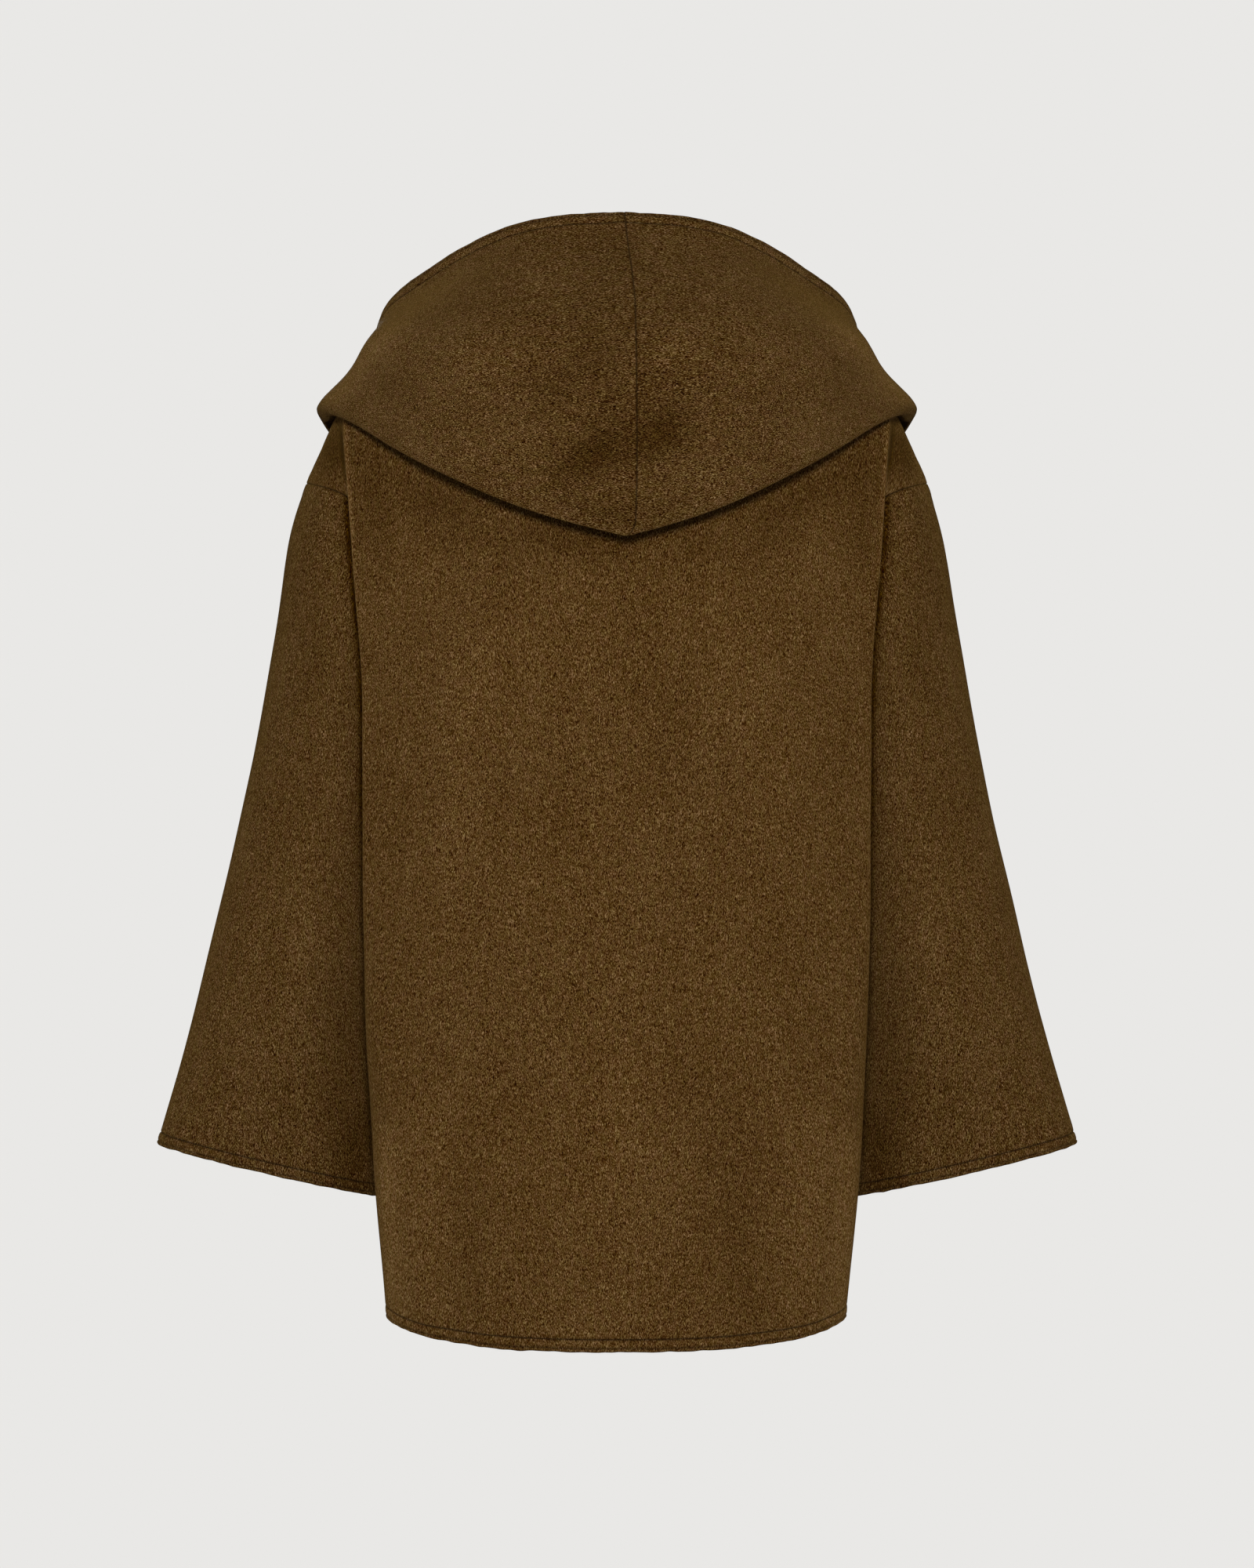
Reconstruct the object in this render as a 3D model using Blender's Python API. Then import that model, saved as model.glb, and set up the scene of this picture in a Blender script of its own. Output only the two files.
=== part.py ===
"""A short hooded coat in thick double-faced wool, standing open and hollow as it hangs on its wearer.

The frame is in metres, +Z up, with the wearer's front towards -Y and the wearer's left towards +X.
The origin is at the height of the nape, on the middle line, between the two shoulder seams.

Each sewn piece is one wall of cloth: a grid of points on the cloth's outer face, and the same grid
moved in by the cloth's thickness. The grids come from sections, the tables below give each section's
sizes, and what lies between two sections is a monotone cubic.
"""

import math

import bmesh
import bpy
import numpy as np

# The cloth
CLOTH = 0.0024  # wall of double-faced wool
TURN_EXTRA = 0.0010  # more wall where a free edge is turned in and stitched
TURN_WIDTH = 0.0110  # from the free edge to the stitched line
TURN_STEP = 0.0014  # over which the turned edge thins to the plain wall
SEAM_GAP = 0.0003  # between two sewn pieces

# The neck opening, an ellipse seen from above
NECK_HALF_WIDTH = 0.078
NECK_HALF_DEPTH = 0.092
NECK_CENTRE_Y = -0.026

# The centre front edges, which hang a little apart
FRONT_GAP_TOP = 0.0075  # from the middle line to each front edge, at the neck
FRONT_GAP_HEM = 0.0200  # and at the hem

FRONT_EDGES = (0.0, TURN_WIDTH, TURN_WIDTH + TURN_STEP)  # columns of the turned front edge

# How a body section runs from the middle line to its side fold
PANEL_POWER = 2.3  # of the fall towards the side fold, seen from above
DROP_POWER_TOP = 1.5  # of the drop in height towards the side fold, at the shoulder seam
DROP_POWER_HEM = 4.0  # and at the hem
ROUND_SHARE = 0.62  # most of the way from fold to valley that the fold's rounding takes
VALLEY_SHARE = 0.34  # and that the valley's rounding takes
VALLEY_ROUND = 0.012

BODY_TOP_Y = -0.0020  # the shoulder seams' place

UNDERARM = 6  # the station where the armholes end and the side seams start
HEM = 11  # the last station

# Sections of the back, from the shoulder seam (0) to the hem (11). The middle line's place is
# centre_y and centre_z. fold_x is the reach of the soft fold that hangs beside the arm, valley is the
# hollow behind it, and round says how far the fold's turn spreads.
BACK_COLUMNS = (
    "station", "centre_y", "centre_z", "fold_x", "fold_y", "fold_z",
    "valley_x", "valley_y", "valley_z", "round",
)
BACK_SECTIONS = (
    (0, -0.002, 0.016, 0.2000, -0.006, -0.052, 0.2140, -0.008, -0.070, 0.012),
    (1, 0.050, 0.008, 0.2020, 0.026, -0.057, 0.2125, 0.020, -0.073, 0.010),
    (2, 0.088, -0.022, 0.2058, 0.052, -0.077, 0.2100, 0.038, -0.089, 0.008),
    (3, 0.111, -0.068, 0.2035, 0.070, -0.108, 0.2045, 0.052, -0.115, 0.007),
    (4, 0.127, -0.128, 0.1998, 0.0755, -0.153, 0.1968, 0.060, -0.150, 0.007),
    (5, 0.1355, -0.205, 0.1946, 0.0755, -0.222, 0.1842, 0.053, -0.214, 0.009),
    (6, 0.137, -0.285, 0.1903, 0.0720, -0.298, 0.1720, 0.030, -0.286, 0.012),
    (7, 0.1345, -0.358, 0.1903, 0.068, -0.363, 0.1690, 0.020, -0.357, 0.018),
    (8, 0.130, -0.440, 0.1903, 0.064, -0.440, 0.1775, 0.014, -0.438, 0.026),
    (9, 0.129, -0.535, 0.1890, 0.062, -0.535, 0.1790, 0.008, -0.535, 0.034),
    (10, 0.131, -0.645, 0.1830, 0.056, -0.643, 0.1762, 0.004, -0.642, 0.042),
    (11, 0.134, -0.7700, 0.1752, 0.050, -0.7585, 0.1705, 0.002, -0.7570, 0.052),
)

# Sections of each front, with the same stations as the back's.
FRONT_COLUMNS = BACK_COLUMNS
FRONT_SECTIONS = (
    (0, -0.002, 0.016, 0.2000, -0.006, -0.052, 0.2140, -0.008, -0.070, 0.012),
    (1, -0.052, 0.002, 0.2000, -0.036, -0.056, 0.2115, -0.035, -0.072, 0.012),
    (2, -0.092, -0.046, 0.2005, -0.064, -0.076, 0.2090, -0.057, -0.088, 0.012),
    (3, -0.119, -0.108, 0.1985, -0.084, -0.109, 0.2035, -0.0760, -0.116, 0.010),
    (4, -0.136, -0.160, 0.1952, -0.100, -0.152, 0.1950, -0.0905, -0.151, 0.010),
    (5, -0.149, -0.225, 0.1880, -0.104, -0.222, 0.1800, -0.0820, -0.214, 0.012),
    (6, -0.154, -0.295, 0.1790, -0.100, -0.296, 0.1680, -0.0560, -0.285, 0.018),
    (7, -0.154, -0.358, 0.1730, -0.094, -0.360, 0.1635, -0.0450, -0.355, 0.024),
    (8, -0.151, -0.440, 0.1740, -0.092, -0.440, 0.1720, -0.036, -0.438, 0.034),
    (9, -0.149, -0.535, 0.1740, -0.090, -0.535, 0.1745, -0.030, -0.535, 0.038),
    (10, -0.149, -0.643, 0.1710, -0.088, -0.643, 0.1730, -0.026, -0.642, 0.040),
    (11, -0.151, -0.7620, 0.1660, -0.086, -0.7580, 0.1695, -0.024, -0.7570, 0.040),
)

# The armhole seam, from the shoulder seam's end over the back or the front of the arm to the underarm.
# turn is the angle round the sleeve, in degrees.
ARMHOLE_COLUMNS = ("station", "turn", "back_x", "back_y", "back_z", "front_x", "front_y", "front_z")
ARMHOLE_POINTS = (
    (0, 0, 0.2375, -0.012, -0.1235, 0.2375, -0.012, -0.1235),
    (1, 20, 0.2360, 0.007, -0.1245, 0.2362, -0.030, -0.1245),
    (2, 42, 0.2300, 0.027, -0.1270, 0.2310, -0.048, -0.1270),
    (3, 68, 0.2150, 0.045, -0.1320, 0.2160, -0.070, -0.1325),
    (4, 95, 0.1935, 0.0515, -0.1450, 0.1940, -0.0845, -0.1455),
    (5, 132, 0.1745, 0.038, -0.2020, 0.1745, -0.0640, -0.2030),
    (6, 180, 0.1590, -0.004, -0.2680, 0.1590, -0.004, -0.2680),
)

# The side seam, from the underarm to the hem.
SIDE_COLUMNS = ("station", "x", "y", "z")
SIDE_SEAM = (
    (6, 0.1590, -0.004, -0.2680),
    (7, 0.1625, -0.006, -0.3520),
    (8, 0.1735, -0.008, -0.4370),
    (9, 0.1765, -0.008, -0.5350),
    (10, 0.1745, -0.008, -0.6420),
    (11, 0.1700, -0.008, -0.7570),
)

# Sections of a sleeve, after the armhole: its outer and inner lines, its middle and half its depth
# from back to front.
SLEEVE_COLUMNS = ("station", "outer_x", "outer_z", "inner_x", "inner_z", "mid_y", "half_depth")
SLEEVE_SECTIONS = (
    (1, 0.2518, -0.166, 0.1675, -0.294, -0.012, 0.0590),
    (2, 0.2630, -0.232, 0.1730, -0.342, -0.016, 0.0575),
    (3, 0.2755, -0.302, 0.1800, -0.402, -0.022, 0.0550),
    (4, 0.2905, -0.376, 0.1855, -0.466, -0.029, 0.0520),
    (5, 0.3085, -0.451, 0.1875, -0.532, -0.036, 0.0490),
    (6, 0.3282, -0.533, 0.1860, -0.602, -0.042, 0.0460),
    (7, 0.3545, -0.6320, 0.1815, -0.6745, -0.048, 0.0440),
)
CUFF = 7
SLEEVE_SQUARENESS = 2.25  # exponent of a sleeve section, 2 for an ellipse
ARMHOLE_GAP = 0.0004  # from the armhole's edge to the sleeve's first ring
UNDERARM_EASE = 2.0  # of the seam gap, by which the sleeve starts further from the body under the arm

# Sections of the hood, from the centre seam at the back (0) round the neck to the front edge (1).
# edge is the face opening, fold is the lowest line of the bag that the hood makes on the shoulders,
# stand is the height of the neck before it rolls over, arch lifts the layer that lies on the shoulders,
# bulge is how far the outer layer swells and width is half the fold's.
HOOD_COLUMNS = (
    "station", "edge_x", "edge_y", "edge_z", "fold_x", "fold_y", "fold_z",
    "stand", "arch", "bulge", "width",
)
HOOD_SECTIONS = (
    (0.00, 0.0000, 0.100, 0.0697, 0.0000, 0.1700, -0.1750, 0.020, 0.004, 0.0430, 0.0075),
    (0.07, 0.0370, 0.098, 0.0682, 0.0395, 0.1665, -0.1648, 0.020, 0.005, 0.0420, 0.0075),
    (0.14, 0.0717, 0.092, 0.0630, 0.0774, 0.1600, -0.1520, 0.020, 0.007, 0.0400, 0.0075),
    (0.26, 0.1140, 0.075, 0.0483, 0.1295, 0.1400, -0.1285, 0.020, 0.011, 0.0330, 0.0075),
    (0.36, 0.1420, 0.055, 0.0333, 0.1656, 0.1120, -0.1075, 0.020, 0.014, 0.0230, 0.0075),
    (0.45, 0.1650, 0.030, 0.0195, 0.1932, 0.0830, -0.0890, 0.019, 0.014, 0.0110, 0.0075),
    (0.53, 0.1775, 0.005, 0.0080, 0.2148, 0.0420, -0.0770, 0.018, 0.011, -0.0005, 0.0070),
    (0.60, 0.1835, -0.022, -0.0060, 0.2235, -0.0060, -0.0755, 0.018, 0.009, -0.0045, 0.0065),
    (0.70, 0.1800, -0.066, -0.0290, 0.2165, -0.0620, -0.0870, 0.018, 0.009, 0.0010, 0.0065),
    (0.80, 0.1480, -0.112, -0.0530, 0.1800, -0.1180, -0.1110, 0.016, 0.009, 0.0040, 0.0065),
    (0.90, 0.0880, -0.148, -0.0700, 0.1080, -0.1560, -0.1260, 0.013, 0.007, 0.0040, 0.0065),
    (1.00, 0.0110, -0.170, -0.0790, 0.0105, -0.1660, -0.1310, 0.010, 0.004, 0.0030, 0.0065),
)
HOOD_SEAM_GAP = 0.0004  # across the slanting centre seam
HOOD_SEAT = 0.0002  # from the neckline up to the hood's first row
HOOD_ROLL = 0.012  # how far the neck stands out before it rolls over
FOLD_RISE = 0.0085  # from the hood's fold line up to where its two layers run straight
# The centre seam drifts towards the wearer's right: (place along the section, drift)
SEAM_DRIFT_PLACES = (0.0, 2.0, 4.0, 5.5, 6.3, 7.0)
SEAM_DRIFT = (0.0, 0.0, -0.0080, -0.0150, -0.0140, -0.0060)
DRIFT_ENDS = 0.40  # the station by which the drift has died out

# Grids of the solids
ROWS_OVER_UNDERARM = 13
ROWS_UNDER_UNDERARM = 11
COLUMNS_IN_NECK = 8
COLUMNS_TO_FOLD = 6
COLUMNS_IN_FOLD = 4
COLUMNS_TO_SEAM = 4
SLEEVE_ROWS = 11
HOOD_PLACES = (0, 0.6, 1, 1.5, 2, 2.6, 3.1, 3.55, 4, 4.45, 4.9, 5.5, 6)  # down a hood section
LAST_BUTTED_ROW = 5  # down to which the sleeve's wall stands end to end with the panel's
ROWS_TO_TURN = 4  # over which each wall then turns back to its own direction
SHARP_DEGREES = 50  # over which an edge of a wall is shaded sharp

# How finely the curves are worked out
TURN_POINTS = 17  # round a side fold
HOLLOW_POINTS = 9  # round a valley
EDGE_POINTS = 80  # along the last stretch of a hood section
REACH_PASSES = 4  # of moving a side fold out until its turn has the table's reach
HALVINGS = 40  # in the search for the station where a column meets the neckline
LAST_NECK_STATION = 5.0  # the neckline lies above it
EVEN_PASSES = 2  # of evening out the walls' directions

# The wool's tone on each piece
BODY_TONE = (0.085, 0.042, 0.0125, 1.0)
SLEEVE_TONE = (0.074, 0.037, 0.0110, 1.0)
HOOD_TONE = (0.076, 0.037, 0.0110, 1.0)
WOOL_ROUGHNESS = 0.92


def unit(vectors):
    """Vectors of length one."""
    return vectors / np.maximum(np.linalg.norm(vectors, axis=-1, keepdims=True), 1e-12)


def monotone(stations, values, at):
    """The monotone cubic through (stations, values), read at the station or stations given."""
    x = np.asarray(stations, float)
    y = np.asarray(values, float)
    at = np.asarray(at, float)
    step = np.diff(x)
    rise = np.diff(y) / step
    slope = np.zeros_like(y)
    slope[0], slope[-1] = rise[0], rise[-1]
    before, after = rise[:-1], rise[1:]
    same_way = before * after > 0
    first = 2 * step[1:] + step[:-1]
    second = step[1:] + 2 * step[:-1]
    safe_before = np.where(same_way, before, 1.0)
    safe_after = np.where(same_way, after, 1.0)
    mean = (first + second) / (first / safe_before + second / safe_after)
    slope[1:-1] = np.where(same_way, mean, 0.0)
    i = np.clip(np.searchsorted(x, at, side="right") - 1, 0, len(step) - 1)
    t = (at - x[i]) / step[i]
    return (
        y[i] * (1 + 2 * t) * (1 - t) ** 2
        + y[i + 1] * t * t * (3 - 2 * t)
        + step[i] * t * (1 - t) * (slope[i] * (1 - t) - slope[i + 1] * t)
    )


class Sections:
    """A table with named columns, read at any station between its rows."""

    def __init__(self, names, rows):
        self.columns = dict(zip(names, np.array(rows, float).T))

    def at(self, name, station):
        return monotone(self.columns["station"], self.columns[name], station)

    def point(self, name, station):
        prefix = f"{name}_" if name else ""
        return np.array([self.at(prefix + axis, station) for axis in "xyz"])


BACK = Sections(BACK_COLUMNS, BACK_SECTIONS)
FRONT = Sections(FRONT_COLUMNS, FRONT_SECTIONS)
ARMHOLE = Sections(ARMHOLE_COLUMNS, ARMHOLE_POINTS)
SIDE = Sections(SIDE_COLUMNS, SIDE_SEAM)
SLEEVE = Sections(SLEEVE_COLUMNS, SLEEVE_SECTIONS)
HOOD = Sections(HOOD_COLUMNS, HOOD_SECTIONS)


# Body panels


def panel_edge(side, station):
    """Where a body panel ends at a station: on the armhole seam, or on the side seam under it."""
    if station <= UNDERARM:
        return ARMHOLE.point(side, station)
    return SIDE.point("", station)


def bezier(start, corner, end, count):
    """Points of the quadratic curve that rounds a corner."""
    t = np.linspace(0, 1, count)[:, None]
    return start * (1 - t) ** 2 + 2 * corner * t * (1 - t) + end * t * t


def resampled(path, count):
    """count points at even distances along a path of straight pieces."""
    length = np.concatenate([[0], np.cumsum(np.linalg.norm(np.diff(path, axis=0), axis=1))])
    at = np.linspace(0, length[-1], count)
    return np.stack([np.interp(at, length, path[:, k]) for k in range(3)], axis=1)


class BodySection:
    """One section of a body panel: a shallow curve from the middle line to the side fold, the fold's
    turn, and the run through the valley to the seam."""

    def __init__(self, table, side, station):
        self.centre = np.array([table.at("centre_y", station), table.at("centre_z", station)])
        self.drop_power = DROP_POWER_TOP + (DROP_POWER_HEM - DROP_POWER_TOP) * station / HEM
        self.fold = table.point("fold", station)
        valley = table.point("valley", station)
        end = panel_edge(side, station)
        reach = float(table.at("fold_x", station))
        for _ in range(REACH_PASSES):
            self._turn(float(table.at("round", station)), valley)
            self.fold[0] += reach - self.turn[:, 0].max()
        run_in, run_out = valley - self.turn[-1], end - valley
        spread = min(
            VALLEY_ROUND,
            VALLEY_SHARE * np.linalg.norm(run_in),
            VALLEY_SHARE * np.linalg.norm(run_out),
        )
        into, out = valley - spread * unit(run_in), valley + spread * unit(run_out)
        self.tail = np.vstack([self.turn[-1], bezier(into, valley, out, HOLLOW_POINTS), end])

    def _turn(self, spread, valley):
        """Rounds the fold, and sets where the shallow curve stops."""
        run = valley - self.fold
        after = min(spread, ROUND_SHARE * np.linalg.norm(run))
        slope = np.array([1, PANEL_POWER * (self.fold[1] - self.centre[0]) / self.fold[0]])
        self.stop = self.fold[0] - spread / np.linalg.norm(slope)
        past = self.fold + after * unit(run)
        self.turn = bezier(self.main(self.stop), self.fold, past, TURN_POINTS)

    def main(self, x):
        """The shallow curve at a distance x from the middle line."""
        share = np.clip(x / self.fold[0], 0, None)
        y = self.centre[0] + (self.fold[1] - self.centre[0]) * share**PANEL_POWER
        z = self.centre[1] + (self.fold[2] - self.centre[1]) * share**self.drop_power
        return np.array([x, y, z])


def front_gap(station):
    """From the middle line to the front edge."""
    return FRONT_GAP_TOP + (FRONT_GAP_HEM - FRONT_GAP_TOP) * station / HEM


def neck_end(direction):
    """The angle round the neck opening, from the back or the front, of the shoulder seam's end."""
    return math.acos(direction * (BODY_TOP_Y - NECK_CENTRE_Y) / NECK_HALF_DEPTH)


def station_at(table, side, across, y):
    """The station where the panel at a distance across the middle line is at y."""
    low, high = 0.0, LAST_NECK_STATION
    direction = 1 if side == "back" else -1
    for _ in range(HALVINGS):
        middle = (low + high) / 2
        reached = direction * BodySection(table, side, middle).main(across)[1] > direction * y
        low, high = (low, middle) if reached else (middle, high)
    return high


def neck_tops(table, side):
    """For each column that starts on the neckline: its distance from the middle line, and station."""
    direction = 1 if side == "back" else -1
    end = neck_end(direction)
    turns = np.linspace(0, end, COLUMNS_IN_NECK + 1)
    if side == "front":
        turns = [math.asin((FRONT_GAP_TOP + edge) / NECK_HALF_WIDTH) for edge in FRONT_EDGES]
        turns = np.concatenate([turns, np.linspace(turns[-1], end, COLUMNS_IN_NECK)[1:]])
    tops = []
    for turn in turns:
        across = NECK_HALF_WIDTH * math.sin(turn)
        y = NECK_CENTRE_Y + direction * NECK_HALF_DEPTH * math.cos(turn)
        tops.append((across, station_at(table, side, across, y)))
    tops[-1] = (tops[-1][0], 0.0)
    return tops


def panel_rows():
    """The stations of a panel's rows, with two close rows where the turned hem starts."""
    hem_drop = float(BACK.at("centre_z", HEM - 1) - BACK.at("centre_z", HEM))
    upper = np.linspace(0, UNDERARM, ROWS_OVER_UNDERARM)
    turned = [HEM - (TURN_WIDTH + TURN_STEP) / hem_drop, HEM - TURN_WIDTH / hem_drop, HEM]
    lower = np.linspace(UNDERARM, turned[0], ROWS_UNDER_UNDERARM + 1)[1:-1]
    return np.concatenate([upper, lower, turned])


def half_panel(table, side):
    """The grid of one half of the back, or of one front, on the wearer's left, and how many of its
    columns start on the neckline. Rows run from the neck and shoulder down, columns from the middle
    outwards, evenly spread from the underarm down. A column that starts on the shoulder seam keeps its
    share of the section's width."""
    tops = neck_tops(table, side)
    shoulder = BodySection(table, side, 0.0)
    distances = np.linspace(tops[-1][0], shoulder.stop, COLUMNS_TO_FOLD + 1)[1:]
    tops += [(distance, 0.0) for distance in distances]
    fixed = len(FRONT_EDGES) if side == "front" else 1
    grid = []
    for row in panel_rows():
        spread = min(1.0, row / UNDERARM)
        line = []
        for column, (across, start) in enumerate(tops):
            station = row + start * (1 - spread)
            section = BodySection(table, side, station)
            first = front_gap(station) + FRONT_EDGES[-1] if side == "front" else 0.0
            share = max(0, column - fixed + 1) / (len(tops) - fixed)
            even = first + share * (section.stop - first)
            if side == "front" and column < fixed:
                even = front_gap(station) + FRONT_EDGES[column]
                across = even
            if start == 0.0 and column >= len(tops) - COLUMNS_TO_FOLD - 1:
                across = across / shoulder.stop * section.stop
            line.append(section.main(across + (even - across) * math.sqrt(spread)))
        section = BodySection(table, side, row)
        turn = resampled(section.turn, COLUMNS_IN_FOLD + 1)[1:]
        tail = resampled(section.tail, COLUMNS_TO_SEAM + 1)[1:]
        line.extend([*turn, *tail])
        grid.append(line)
    return np.array(grid), len(tops) - COLUMNS_TO_FOLD


# Sleeves


def sleeve_ring(station, turn):
    """A sleeve section's point at an angle, 0 on the outer line, 90 degrees at the back."""
    outer = np.array([SLEEVE.at("outer_x", station), 0, SLEEVE.at("outer_z", station)])
    inner = np.array([SLEEVE.at("inner_x", station), 0, SLEEVE.at("inner_z", station)])
    middle = (outer + inner) / 2 + [0, float(SLEEVE.at("mid_y", station)), 0]
    power = 2 / SLEEVE_SQUARENESS
    across = math.copysign(abs(math.cos(turn)) ** power, math.cos(turn))
    deep = math.copysign(abs(math.sin(turn)) ** power, math.sin(turn))
    return middle + across * (outer - inner) / 2 + [0, deep * SLEEVE.at("half_depth", station), 0]


def sleeve_line(side, station, places):
    """A line down the sleeve, from a station of the armhole to the cuff, at places along it."""
    turn = math.radians(ARMHOLE.at("turn", station)) * (1 if side == "back" else -1)
    seam = ARMHOLE.point(side, station)
    points = [seam] + [sleeve_ring(place, turn) for place in range(1, CUFF + 1)]
    under = max(0.0, -math.cos(turn))
    clearance = unit(points[1] - seam) + np.array([UNDERARM_EASE * under, 0, 0])
    points[0] = seam + ARMHOLE_GAP * clearance
    whole = np.arange(CUFF + 1)
    return np.stack([monotone(whole, column, places) for column in np.array(points).T], axis=1)


def sleeve_grid():
    """The sleeve on the wearer's left: rows from the armhole to the cuff, columns all round, one for
    each row of the body panels over the underarm."""
    length = float(np.linalg.norm((sleeve_ring(CUFF, 0) - sleeve_ring(CUFF - 1, 0))[[0, 2]]))
    turned = [CUFF - (TURN_WIDTH + TURN_STEP) / length, CUFF - TURN_WIDTH / length, CUFF]
    places = np.concatenate([np.linspace(0, turned[0], SLEEVE_ROWS), turned[1:]])
    stations = np.linspace(0, UNDERARM, ROWS_OVER_UNDERARM)
    lines = [sleeve_line("back", station, places) for station in stations]
    lines += [sleeve_line("front", station, places) for station in stations[-2:0:-1]]
    return np.stack(lines, axis=1)


# The hood


def neckline_from(back, back_columns, front, front_columns):
    """The neckline's points with their angles round the neck, from the panels' first rows."""
    on_front = [*range(front_columns - 2, len(FRONT_EDGES) - 2, -1), 0]
    points = np.vstack([back[0, :back_columns], front[0, on_front]])
    angles = np.arctan2(points[:, 0] / NECK_HALF_WIDTH, (points[:, 1] - NECK_CENTRE_Y) / NECK_HALF_DEPTH)
    return angles, points


def curve_through(points, places):
    """The centripetal Catmull-Rom curve through points, read at places counted in points."""
    ends = np.vstack([2 * points[0] - points[1], points, 2 * points[-1] - points[-2]])
    knots = np.append(0, np.cumsum(np.sqrt(np.linalg.norm(np.diff(ends, axis=0), axis=1))))
    i = np.clip(np.floor(places).astype(int), 0, len(points) - 2)
    p = [ends[i + k] for k in range(4)]
    t = [knots[i + k][:, None] for k in range(4)]
    at = t[1] + (np.asarray(places) - i)[:, None] * (t[2] - t[1])

    def between(first, second, start, stop):
        return (first * (stop - at) + second * (at - start)) / (stop - start)

    a = [between(p[k], p[k + 1], t[k], t[k + 1]) for k in range(3)]
    b = [between(a[k], a[k + 1], t[k], t[k + 2]) for k in range(2)]
    return between(b[0], b[1], t[1], t[2])


def hood_section(station, neck):
    """The hood's curve at a station: up from its point on the neckline, over the roll, down to the
    fold, and up the outer layer to the edge of the face opening."""
    edge, fold = HOOD.point("edge", station), HOOD.point("fold", station)
    width = float(HOOD.at("width", station))
    away = unit(np.array([fold[0], fold[1] - NECK_CENTRE_Y, 0]))
    up = np.array([0, 0, 1.0])
    seat = neck + CLOTH / 2 * away + HOOD_SEAT * up
    top = seat + HOOD.at("stand", station) * up + HOOD_ROLL * away
    inner = fold - width * away + FOLD_RISE * up
    outer = fold + width * away + FOLD_RISE * up
    between = (top + inner) / 2 + HOOD.at("arch", station) * up
    swell = (outer + edge) / 2 + HOOD.at("bulge", station) * away
    return np.array([seat, top, between, inner, fold, outer, swell, edge])


def places_to_edge(controls):
    """The places of a hood section's points, with two close ones where the turned edge starts."""
    last = len(controls) - 1
    places = np.linspace(last - 1, last, EDGE_POINTS)
    steps = np.linalg.norm(np.diff(curve_through(controls, places), axis=0), axis=1)
    to_edge = np.append(np.cumsum(steps[::-1])[::-1], 0)
    widths = (TURN_WIDTH + TURN_STEP, TURN_WIDTH)
    turned = [float(np.interp(-width, -to_edge, places)) for width in widths]
    return np.array([*HOOD_PLACES, (last - 1 + turned[0]) / 2, *turned, last])


def hood_grid(angles, neckline):
    """The hood's half on the wearer's left without the drift of its centre seam, and the drift: rows
    from the neck seam to the edge, columns from the centre seam to the front."""
    columns, drifts = [], []
    for station, neck in zip(angles / angles[-1], neckline):
        controls = hood_section(station, neck)
        places = places_to_edge(controls)
        fade = max(0.0, 1 - station / DRIFT_ENDS) ** 2
        columns.append(curve_through(controls, places))
        drifts.append(fade * monotone(SEAM_DRIFT_PLACES, SEAM_DRIFT, places))
    drift = np.stack(drifts, axis=1)[..., None] * np.array([1.0, 0, 0])
    return np.stack(columns, axis=1), drift


# Walls


def grid_normals(grid, round_columns=False):
    """Normals of a grid by central differences, evened out with their neighbours."""
    down = np.gradient(grid, axis=0)
    padded = np.concatenate([grid[:, -1:], grid, grid[:, :1]], axis=1)
    across = np.gradient(padded if round_columns else grid, axis=1)
    if round_columns:
        across = across[:, 1:-1]
    normals = unit(np.cross(across, down))
    for _ in range(EVEN_PASSES):
        if round_columns:
            sides = np.roll(normals, 1, axis=1) + np.roll(normals, -1, axis=1)
        else:
            wide = np.concatenate([normals[:, :1], normals, normals[:, -1:]], axis=1)
            sides = wide[:, 2:] + wide[:, :-2]
        tall = np.concatenate([normals[:1], normals, normals[-1:]])
        normals = unit(2 * normals + sides + tall[2:] + tall[:-2])
    return normals


def cell_triangles(grid, row, column, across):
    """A cell's two triangles as (row, column) corners, cut along its shorter diagonal."""
    corners = ((row, column), (row + 1, column), (row + 1, across), (row, across))
    first = np.linalg.norm(grid[corners[0]] - grid[corners[2]])
    second = np.linalg.norm(grid[corners[1]] - grid[corners[3]])
    turned = 0 if first <= second else 1
    a, b, c, d = (corners[(k + turned) % 4] for k in range(4))
    return (a, b, c), (a, c, d)


def wall_faces(grid, round_columns):
    """The faces of a wall, whose second layer's points follow the first's."""
    rows, columns = grid.shape[:2]
    faces = []

    def at(place, layer):
        return layer * rows * columns + place[0] * columns + place[1]

    def strip(first, second):
        faces.append([at(first, 0), at(second, 0), at(second, 1), at(first, 1)])

    for column in range(columns if round_columns else columns - 1):
        across = (column + 1) % columns
        for row in range(rows - 1):
            for triangle in cell_triangles(grid, row, column, across):
                faces.append([at(place, 0) for place in triangle])
                faces.append([at(place, 1) for place in reversed(triangle)])
        strip((0, column), (0, across))
        strip((rows - 1, across), (rows - 1, column))
    if not round_columns:
        for row in range(rows - 1):
            strip((row + 1, 0), (row, 0))
            strip((row, columns - 1), (row + 1, columns - 1))
    return faces


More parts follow.
